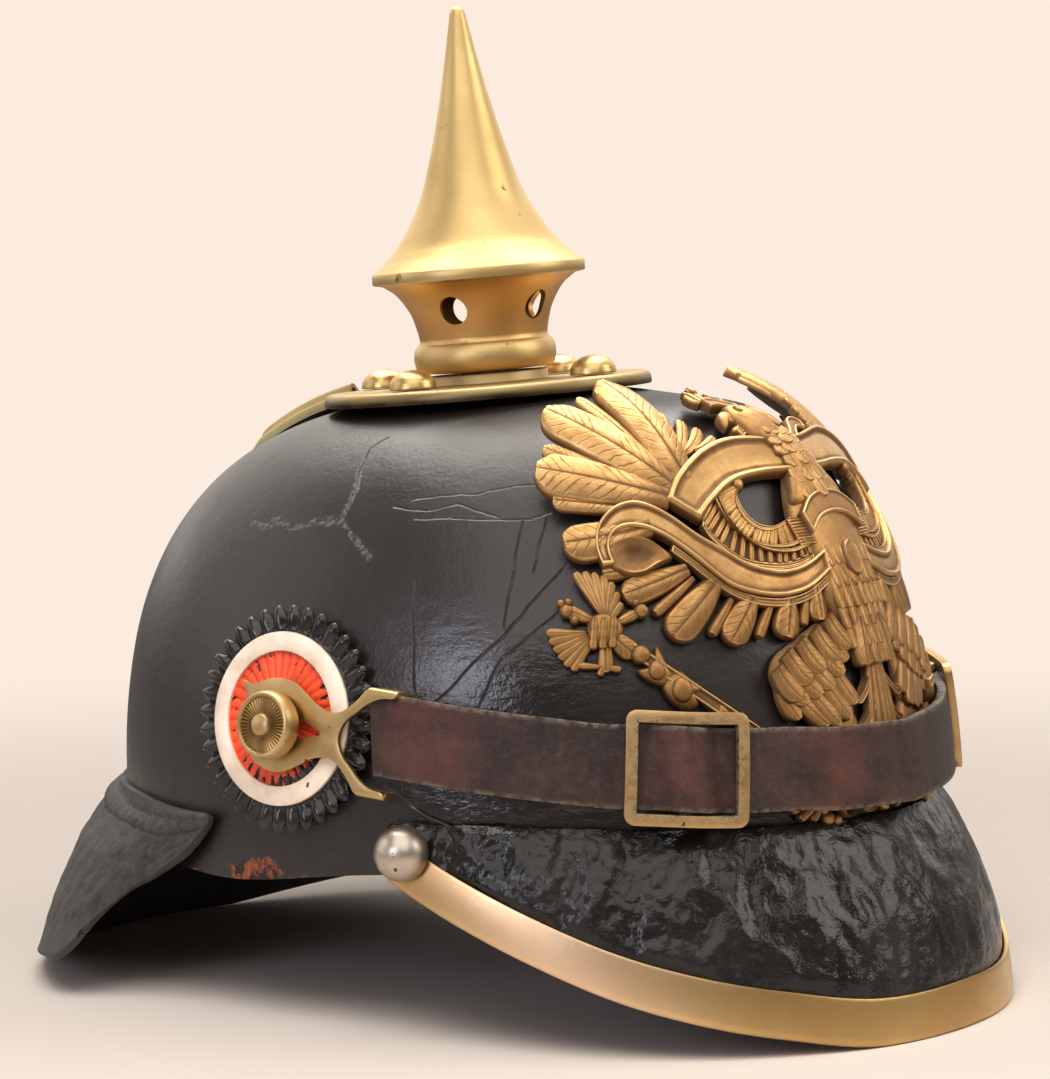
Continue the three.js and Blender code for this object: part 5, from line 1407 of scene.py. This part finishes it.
def wing(sign):
    turn = lambda points: [(x * sign, y) for x, y in points]

    def laid(root, tip, *rest, bow=0.0, **more):
        feather(*turn([root, tip]), *rest, bow=bow * sign, **more)

    for root, tip, width in BETWEEN_FEATHERS:
        laid(root, tip, width, 0, 1.2)
    for root, tip, width, bow in FLIGHTS:
        laid(root, tip, width, 0.3, 2.5, bow=bow, columns=19, pitch=0.75)
    for root, tip, width in FRINGE:
        laid(root, tip, width, 1.1, 1.0, bow=0.6)
    for root, tip, width, rise in COVERTS:
        laid(root, tip, width, 0.3, rise * 1.15, columns=15 if width > 5 else 9, pitch=0.7)
    ridge, lip, foot = smoothed(RIDGE, 8), smoothed(LIP, 8), smoothed(BARS_FOOT, 8)
    ribbon(turn(LIP), turn(BARS_FOOT), 0.3, 0.9, border=0.5, field=0.06)
    along = lambda line, share: tuple(line[round(share * (len(line) - 1))])
    for k in range(15):
        laid(along(ridge, k / 14), along(foot, k / 14), 1.7, 1.0, 1.1, narrow=0.9, columns=7, pitch=0.8)
    for k in range(12):
        laid(along(ridge, (k + 0.2) / 12), along(lip, (k + 0.6) / 12), 3, 1.3, 1.1, narrow=0.7, columns=9,
             pitch=0.6, cut=0.6)
    for apart in (-0.7, 0.7):
        line = [(x + apart * 0.8, y + apart * 0.8) for x, y in RIDGE]
        ribbon(turn([(x + 0.3, y + 0.4) for x, y in line]), turn([(x - 0.3, y - 0.4) for x, y in line]),
               2.1, 0.7, border=0.3, per=7, field=0.8)
    ribbon(turn(LIP), turn([(x + 1.1, y - 1.0) for x, y in LIP]), 1.8, 0.7, border=0.5, field=0.7)
    ribbon(turn(BARS_FOOT), turn([(x + 0.7, y - 1.3) for x, y in BARS_FOOT]), 1.7, 0.8, border=0.5,
           field=0.75)
    boss(ring_round(26.4 * sign, 79.6, 1.7), 1.9, 1.3, rings=7, per=3)
    v, u = np.meshgrid(np.linspace(63.6, 69.8, 40), np.linspace(10.2, 16.2, 15), indexing="ij")
    lines = 0.16 * np.sin(v * 9) * (1 - ((u - 13.2) / 3.2) ** 4)
    # The bars' value follows their ripples: lighter on each ridge as painted highlight, darker in each
    # trough as painted shade.
    lay(np.stack([(u + (v - 67) * 0.2) * sign, v, 3.0 + lines], axis=-1), 0.6, 0.55 + lines * 1.8)
    ribbon(turn(SCROLL_LINE[6:]), turn(SCROLL_FOOT), 1.2, 1.0, border=0.5, field=0.5, lip=0.4)
    ribbon(turn(SCROLL_TOP), turn(SCROLL_LINE), 1.5, 1.2, border=0.95, per=10, field=0.66, lip=0.8)
    boss(turn(POCKET), 1.5, 1.6, rim=0.9, dish=1.15, centre=(57.6 * sign, 65.8), mark=0.15)


for sign in (1, -1):
    wing(sign)

# The band over the wings, and the neck, breast and tail down the middle.
BAND_TOP = [(48, 77.4), (43.4, 82.8), (35, 88.4), (25, 92), (14, 93.4), (0, 93.8)]
BAND_FOOT = [(40.8, 71.6), (35.2, 75.8), (27.5, 79.6), (17.5, 80.8), (8, 80.6), (0, 80.4)]
across_both = lambda points: points + [(-x, y) for x, y in points[-2::-1]]
ribbon(across_both(BAND_TOP), across_both(BAND_FOOT), 1.6, 1.1, border=1.4, per=9, field=0.66, lip=0.7)

boss([(6.4, 98), (6.6, 90), (7.4, 83), (12, 75), (14, 68), (11.4, 58), (11.6, 50), (8, 42), (4.6, 37),
      (0, 36), (-4.6, 37), (-8, 42), (-11.6, 50), (-11.4, 58), (-14, 68), (-12, 75), (-5.8, 83),
      (-4.6, 90), (-2, 98)], 0.6, 3.1, centre=(0, 66), rings=12)
boss([(11.4, 100), (9.6, 95), (7.4, 88), (8, 82), (10.4, 77), (11.6, 73), (6, 71), (0, 70.4), (-6, 71),
      (-11.6, 73), (-9, 77), (-5.6, 82), (-4.4, 88), (-2.4, 94), (0.6, 100)], 2.0, 2.3, centre=(1, 84),
     rings=10)
BREAST_ROWS = [(44, 8, 9, 2.9), (48, 9.4, 9, 3), (52.4, 10.4, 9, 3), (57, 10.4, 9, 3), (61.4, 10, 8.6, 3),
               (65.6, 9.6, 8, 3.2)]
for row, (top, half, length, width) in enumerate(BREAST_ROWS):
    count = 6 + row % 2
    for k in range(count):
        x = half * (2 * (k + 0.5) / count - 1)
        feather((x * 0.97, top), (x * 0.9, top - length), width, 3.0 - abs(x) * 0.08, 0.9, tilt=0.7,
                columns=9, cut=0.8)
NECK_ROWS = [(80, 7.6, 0.4), (84, 6.4, 1.2), (88, 5.8, 1.8), (92, 5.6, 2.8), (96, 5.4, 4.2), (100, 5, 5.8)]
for row, (top, half, middle) in enumerate(NECK_ROWS):
    count = 3 + row % 2
    for k in range(count):
        x = half * (2 * (k + 0.5) / count - 1)
        feather((middle + x, top), (middle * 0.7 + x * 1.15, top - 7), 5, 3.6 - abs(x) * 0.16, 0.9,
                tilt=0.8, columns=15, pitch=0.5, cut=0.8)
ribbon([(12, 70.4), (6.8, 73.8), (0, 75), (-6.8, 73.8), (-12, 70.4)],
       [(11, 65.4), (6.2, 68.4), (0, 69.4), (-6.2, 68.4), (-11, 65.4)], 3.5, 0.7, border=0.6, field=0.45,
       lip=0.5)
boss(ring_round(0, 59, 3.2, 4.2), 3.9, 0.7, rim=0.4, dish=0.3, per=5)

THIGH = [(32.2, 36), (30, 40.2), (24.6, 43), (17.4, 46), (11, 48), (8, 46), (7.6, 41), (10, 36),
         (9.4, 30), (10, 25), (17.4, 24.4), (24, 29.4), (27, 27), (30.6, 31)]
THIGH_FEATHERS = [((30.6, 33.6), (27, 25.4), 4.6, 1.5), ((27, 31.8), (19.4, 23.2), 5.2, 1.7),
                  ((24.6, 34.4), (16.2, 23), 5.2, 1.9), ((20.6, 37), (12.6, 24), 5.2, 2),
                  ((16.6, 39), (10, 27), 5, 1.9), ((30, 35.4), (24.4, 29), 5, 2),
                  ((26.4, 37.6), (20.4, 30), 5.2, 2.2), ((22.6, 39.4), (16.6, 31.4), 5.2, 2.4),
                  ((18.6, 41.6), (12.8, 34), 5, 2.4), ((14.4, 44), (10.4, 36.8), 4.6, 2.2)]
CLAWS = [((18, 16), (26.6, 8), 4, 1.6), ((16, 16), (20.6, 6), 4, 1.8), ((13, 16), (13.6, 6), 4, 1.8),
         ((10, 16), (6, 7), 4, 1.6)]
LEAVES = [((24, 8.4), (31.6, 5.4), 2.6), ((24.6, 6.4), (29.4, 3.2), 2.4), ((23.6, 5.6), (26, 2.4), 2.2),
          ((7, 5.4), (1.6, 2.4), 2.4)]
for sign in (1, -1):
    turn = lambda points: [(x * sign, y) for x, y in points]
    boss(turn(THIGH), 0.5, 1.6, centre=(18 * sign, 36), rings=8)
    for root, tip, width, base in THIGH_FEATHERS:
        feather(*turn([root, tip]), width, base - 0.3, 0.9, bow=0.4 * sign, tilt=0.5, columns=11,
                pitch=0.7, cut=0.6)
    for x, y in ((31.2, 37.4), (27.8, 40.6), (23.4, 42.8), (18.6, 44.8), (13.8, 47)):
        feather(*turn([(x, y), (x - 5, y - 7.4)]), 5.6, 2.3, 1.2, bow=0.6 * sign, narrow=0.75, columns=13,
                pitch=0.5, cut=0.6)
    boss(turn([(19, 25), (10, 25.6), (8, 17), (9, 10), (16, 8), (22, 12)]), 0.5, 1.5)
    for root, tip, width, base in CLAWS:
        feather(*turn([root, tip]), width, base - 0.6, 1.2, bow=0.6 * sign, columns=11)
    for root, tip, width in LEAVES:
        feather(*turn([root, tip]), width, 0.6, 1.3, columns=11, pitch=0.4)
    for x, y, r in ((21.6, 2.6, 1.7), (19.2, 1.9, 1.3), (22.8, 4.8, 1.4)):
        boss(ring_round(x * sign, y, r), 0.8, 1.6, rings=7, per=3)
    boss(ring_round(15.6 * sign, 4.4, 2.7), 0.7, 1.7, rim=0.8, dish=1, rings=9)
    ribbon(turn([(13, 6.4), (11, 4.4), (8.6, 4), (6, 5.6)]),
           turn([(12.4, 4.6), (10.8, 2.7), (8.2, 2.4), (5.4, 4)]), 0.6, 1.3, border=0.5, field=0.6)
    for line in ([(2.6, 34), (5.4, 30.6), (8.6, 28.4), (10, 29.6)],
                 [(2.2, 29), (4.6, 25.4), (7.6, 22.6), (9.4, 22.8)]):
        ribbon(turn(line), turn([(x - 0.4, y - 1.8) for x, y in line]), 0.9, 1.0, border=0.5, field=0.6)
    boss(ring_round(9.7 * sign, 28.9, 1.3), 1.1, 1.3, rings=7, per=3)

TAIL = [(5.8, 14, 2.4, 1.2), (2.9, 12.6, 2.6, 1.5), (0, 12, 2.8, 1.8), (-2.9, 12.6, 2.6, 1.5),
        (-5.8, 14, 2.4, 1.2)]
for x, y, width, base in TAIL:
    feather((x * 0.3, 40), (x, y), width, base, 1.0, narrow=0.5, columns=11)
for x in (-5.2, 0, 5.2):
    feather((x * 0.7, 46), (x, 35), 4.8, 3.0, 0.9, narrow=0.8, columns=15, pitch=0.45)

# The head with its beak and crown, turned to the wearer's right, and the ends of two small ribbons.
HEAD_SIDE = 6.5
beside = lambda points: [(x + HEAD_SIDE, y) for x, y in points]
boss(beside([(6, 92), (8, 97), (9.4, 100.4), (6.6, 104.4), (1.6, 105.6), (-3, 103.6), (-5.4, 99),
             (-5.2, 93), (0, 91)]), 2.4, 2.6, centre=(1 + HEAD_SIDE, 99))
boss(beside([(7.4, 102.4), (10.8, 102), (13.6, 99.4), (13.4, 96), (11.4, 97.6), (8, 98.6)]), 2, 1.6)
boss(beside([(7, 98), (10.6, 97), (11.6, 95.4), (8.6, 95), (6, 96)]), 1.8, 1.1)
boss(ring_round(5.4 + HEAD_SIDE, 101.4, 1.3), 4.2, 0.7, rim=0.3, rings=6)
for root, tip in (((-1, 104), (-4.6, 99.4)), ((-2.4, 101.6), (-6, 96.6)), ((1, 101), (-1.6, 95.6)),
                  ((3.6, 98.4), (2, 93))):
    feather(*beside([root, tip]), 3, 3.9, 0.8, tilt=0.4, columns=9, pitch=0.5)
ribbon(beside([(11.6, 107), (5, 108.4), (-2.6, 107)]),
       beside([(10.8, 104.2), (4.6, 105.4), (-2.4, 104.2)]), 1.8, 1.1, border=0.5)
for x, y, bow in ((13.4, 110.6, -1), (9, 112.8, -0.4), (4.8, 113.6, 0), (0.6, 112.4, 0.4),
                  (-3.4, 110.2, 1)):
    feather(*beside([(x * 0.8 + 1, 106.6), (x, y)]), 3.4, 1.3, 1, bow=bow, narrow=0.7, columns=9, pitch=0.5)
    boss(ring_round(x + HEAD_SIDE, y - 0.4, 0.95), 1.9, 0.8, rings=5, per=3)
boss(ring_round(4.8 + HEAD_SIDE, 113.8, 1.7), 2, 1, rings=6, per=3)
for sign in (1, -1):
    ribbon([(4 * sign, 95), (9.6 * sign, 98.8), (14 * sign, 98.4), (17 * sign, 96.2)],
           [(5 * sign, 91.4), (9.6 * sign, 95), (13 * sign, 95), (16 * sign, 93.4)], 1.6, 0.9, border=0.6)

# A sceptre with a small bird on its end in the right claw, and an orb with a cross in the left.
SCEPTRE_BUDS = [([(57.2, 45.6), (55.8, 42), (54.8, 38.6), (57, 36.4), (60, 37.8), (62.2, 40.4),
                  (59.8, 41.2), (58.4, 43)], (58.2, 40), 1.9, 2.3),
                ([(53.2, 39.6), (51, 37.6), (48.4, 35), (50.4, 34), (50, 31.4), (53, 30.4), (56, 32.8),
                  (57.4, 36.4), (55.8, 38.8)], (53.4, 35.2), 2.4, 3),
                ([(45.6, 31.6), (43.4, 29.2), (41.6, 26.6), (44.2, 26), (46.4, 28.4)],
                 (44.4, 28.6), 0.8, 1)]
ribbon([(20.6, 11), (33, 21.8), (47, 33.8), (59.4, 44.6)],
       [(23, 8.6), (35.4, 19.6), (49.2, 31.4), (61.4, 42.4)], 0.8, 1.0, border=0.7, field=0.3)
for outline, centre, wide, high in SCEPTRE_BUDS:
    boss(outline, 1.0, 1.5, centre=centre)
    boss(ring_round(*centre, wide, high), 1.9, 1.5, rings=8)
boss(ring_round(60.9, 43.9, 2.2), 1.3, 2, rings=8)
BIRD = [((67.6, 53), (72, 63.4), 2.3), ((67.4, 53), (70, 63.4), 2.3), ((67.2, 53), (68, 63), 2.3),
        ((67, 52.8), (66, 62.2), 2.3), ((66.8, 52.6), (64.5, 60.6), 2.3),
        ((66.6, 52.4), (63.5, 58.2), 2.2), ((66.4, 52), (63, 55.8), 2.1),
        ((71.6, 49.8), (79.9, 50.4), 2.3), ((71.6, 49.4), (79.5, 48.4), 2.3),
        ((71.4, 49), (78.8, 46.4), 2.3), ((71.2, 48.6), (77.9, 44.5), 2.3),
        ((71, 48.2), (76.8, 42.8), 2.2), ((70.6, 47.8), (75.4, 41.6), 2.1), ((67, 49.4), (61.8, 43.8), 5),
        ((67.8, 48.4), (68.6, 40.6), 3.6), ((69, 42), (74.2, 42.8), 1.8), ((68.8, 42.4), (70, 40), 1.8),
        ((68.4, 41.8), (65.2, 41), 1.8), ((69.8, 52.4), (75.4, 55.4), 3.2), ((65, 51.4), (60, 53.4), 2.6)]
boss([(71.6, 49), (70.6, 52.8), (67.4, 54), (64.6, 52.6), (63.6, 50), (65, 47.2), (68.4, 46.2),
      (70.8, 47.2)], 0.7, 1.7)
for root, tip, width in BIRD:
    feather(root, tip, width, 0.4, 1.2, narrow=0.45, columns=11, pitch=0.4)
for k in range(9):
    x, y = 65.4 + 2 * (k % 3) + 0.4 * (k // 3), 52.6 - 2 * (k // 3)
    feather((x, y), (x + 0.5, y - 2.8), 2, 1.9, 0.8, columns=9, pitch=0.4)
for x, y, r in ((59.2, 53.6, 1.7), (75, 55, 1.6), (76, 56.6, 1), (74.4, 56.8, 0.9), (73.6, 52.8, 1),
                (60.2, 55.4, 0.9)):
    boss(ring_round(x, y, r), 0.8, 1.5, rings=7, per=3)
boss(ring_round(-37, 27, 7.2, count=10), 0.6, 2.7, rings=10)
ribbon([(-44.2, 28), (-37, 28.4), (-29.8, 28)], [(-44.2, 25.8), (-37, 26), (-29.8, 25.8)], 2.2, 1.0,
       border=0.5)
ribbon([(-36, 34), (-36, 28)], [(-38, 34), (-38, 28)], 2.2, 0.8, border=0.5)
ribbon([(-35.9, 33.6), (-35.9, 42.4)], [(-38.5, 33.6), (-38.5, 42.4)], 0.5, 1.1, border=0.5)
ribbon([(-33.6, 39.6), (-40.8, 39.6)], [(-33.6, 37.2), (-40.8, 37.2)], 0.7, 1.1, border=0.5)
feather((-20, 12), (-37, 24), 4.4, 0.5, 1.4, columns=11)


def gilt_relief(name):
    """Gilding by a value at each point: worn bright and grimy in the hollows, with painted shade in creases
    and low down and painted highlight on crests.
    """
    finish, tree, surface = new_finish(name)
    age = aged(tree, 60.0, 600.0, 0.72)
    wear_and_painted_light = noted(tree, "wear_and_painted_light")
    spot = spot_of(tree)
    vane = node(tree, "ShaderNodeAttribute", attribute_name="vane").outputs["Vector"]
    vane = node(tree, "ShaderNodeSeparateXYZ", {0: vane})
    stray = noise_of(tree, spot, 320.0, 2.0, 0.5)
    place = maths(tree, "FRACT", maths(tree, "ADD", vane.outputs["X"], maths(tree, "MULTIPLY", stray, 0.9)))
    barb = between(tree, maths(tree, "ABSOLUTE", maths(tree, "SUBTRACT", place, 0.5)), 0.13, 0.03)
    barb = maths(tree, "MULTIPLY", barb, between(tree, noise_of(tree, spot, 170.0), 0.4, 0.6, 0.15, 0.8))
    shaft = between(tree, vane.outputs["Y"], 0.34, 0.1)
    scored_lines = maths(tree, "MULTIPLY", maths(tree, "MAXIMUM", barb, shaft), vane.outputs["Z"])
    worn = maths(tree, "MULTIPLY", maths(tree, "SUBTRACT", noise_of(tree, spot, 260.0, 5.0, 0.7), 0.5), 0.6)
    worn = maths(tree, "SUBTRACT", maths(tree, "ADD", wear_and_painted_light, worn),
                 maths(tree, "MULTIPLY", scored_lines, 0.3))
    # Painted shade and highlight: the value runs from dark brown in the creases and hollows to pale gold on
    # the crests.
    hue = blended(tree, between(tree, worn, 0.1, 0.55), (0.085, 0.037, 0.012, 1), (0.43, 0.232, 0.08, 1))
    hue = blended(tree, between(tree, worn, 0.52, 0.95), hue, (0.8, 0.545, 0.24, 1))
    pink = maths(tree, "MULTIPLY", age.outputs["Tarnish"], 0.35)
    hue = blended(tree, pink, hue, (0.42, 0.24, 0.11, 1))
    tree.links.new(hue, surface.inputs["Base Color"])
    tree.links.new(between(tree, worn, 0.0, 0.4, 0.4, 0.92), surface.inputs["Metallic"])
    tree.links.new(between(tree, worn, 0.1, 0.9, 0.6, 0.3), surface.inputs["Roughness"])
    height = maths(tree, "SUBTRACT", maths(tree, "MULTIPLY", age.outputs["Grain"], 0.5), scored_lines)
    relief(tree, surface, height, 0.5, 0.0003)
    return finish


flat = np.concatenate(plate_points)
angle = PLATE_TURN + flat[:, 0] / PLATE_PER_DEGREE
stand = np.interp(np.maximum(flat[:, 1], 0), *PLATE_STAND) + flat[:, 2]
spots = on_skull(angle, flat[:, 1], stand)
central = np.exp(-(flat[:, 0] / 20) ** 2) * ramp(flat[:, 1], 80, 97)
away = PLATE_AWAY * ramp(flat[:, 1], 68, 124) + PLATE_FORWARD * central * ramp(112 - flat[:, 1], 0, 12)
spots[:, 0] -= away * np.sin(np.radians(angle))
spots[:, 1] -= away * np.cos(np.radians(angle))
spots[:, 2] -= PLATE_DROP * central
mesh = bpy.data.meshes.new("eagle_plate_gilt")
mesh.from_pydata(spots.tolist(), [], [list(face) for face in plate_faces])
# Painted shade: the whole plate's value is made darker towards its bottom, as if lit from above.
wear_and_painted_light = np.clip(np.concatenate(plate_wear_and_painted_light), 0, 1) * (0.78 + 0.22 * ramp(flat[:, 1], 45, 82))
vanes = mesh.attributes.new("vane", "FLOAT_VECTOR", "POINT")
vanes.data.foreach_set("vector", np.concatenate(plate_vane).ravel())
eagle = bpy.data.objects.new("eagle_plate_gilt", mesh)
note(eagle, "wear_and_painted_light", wear_and_painted_light)
bpy.context.collection.objects.link(eagle)
face_out(eagle)
eagle.data.materials.append(gilt_relief("gilt_relief"))
set_down(eagle, "gilt_brass", "eagle_plate", smooth=50)
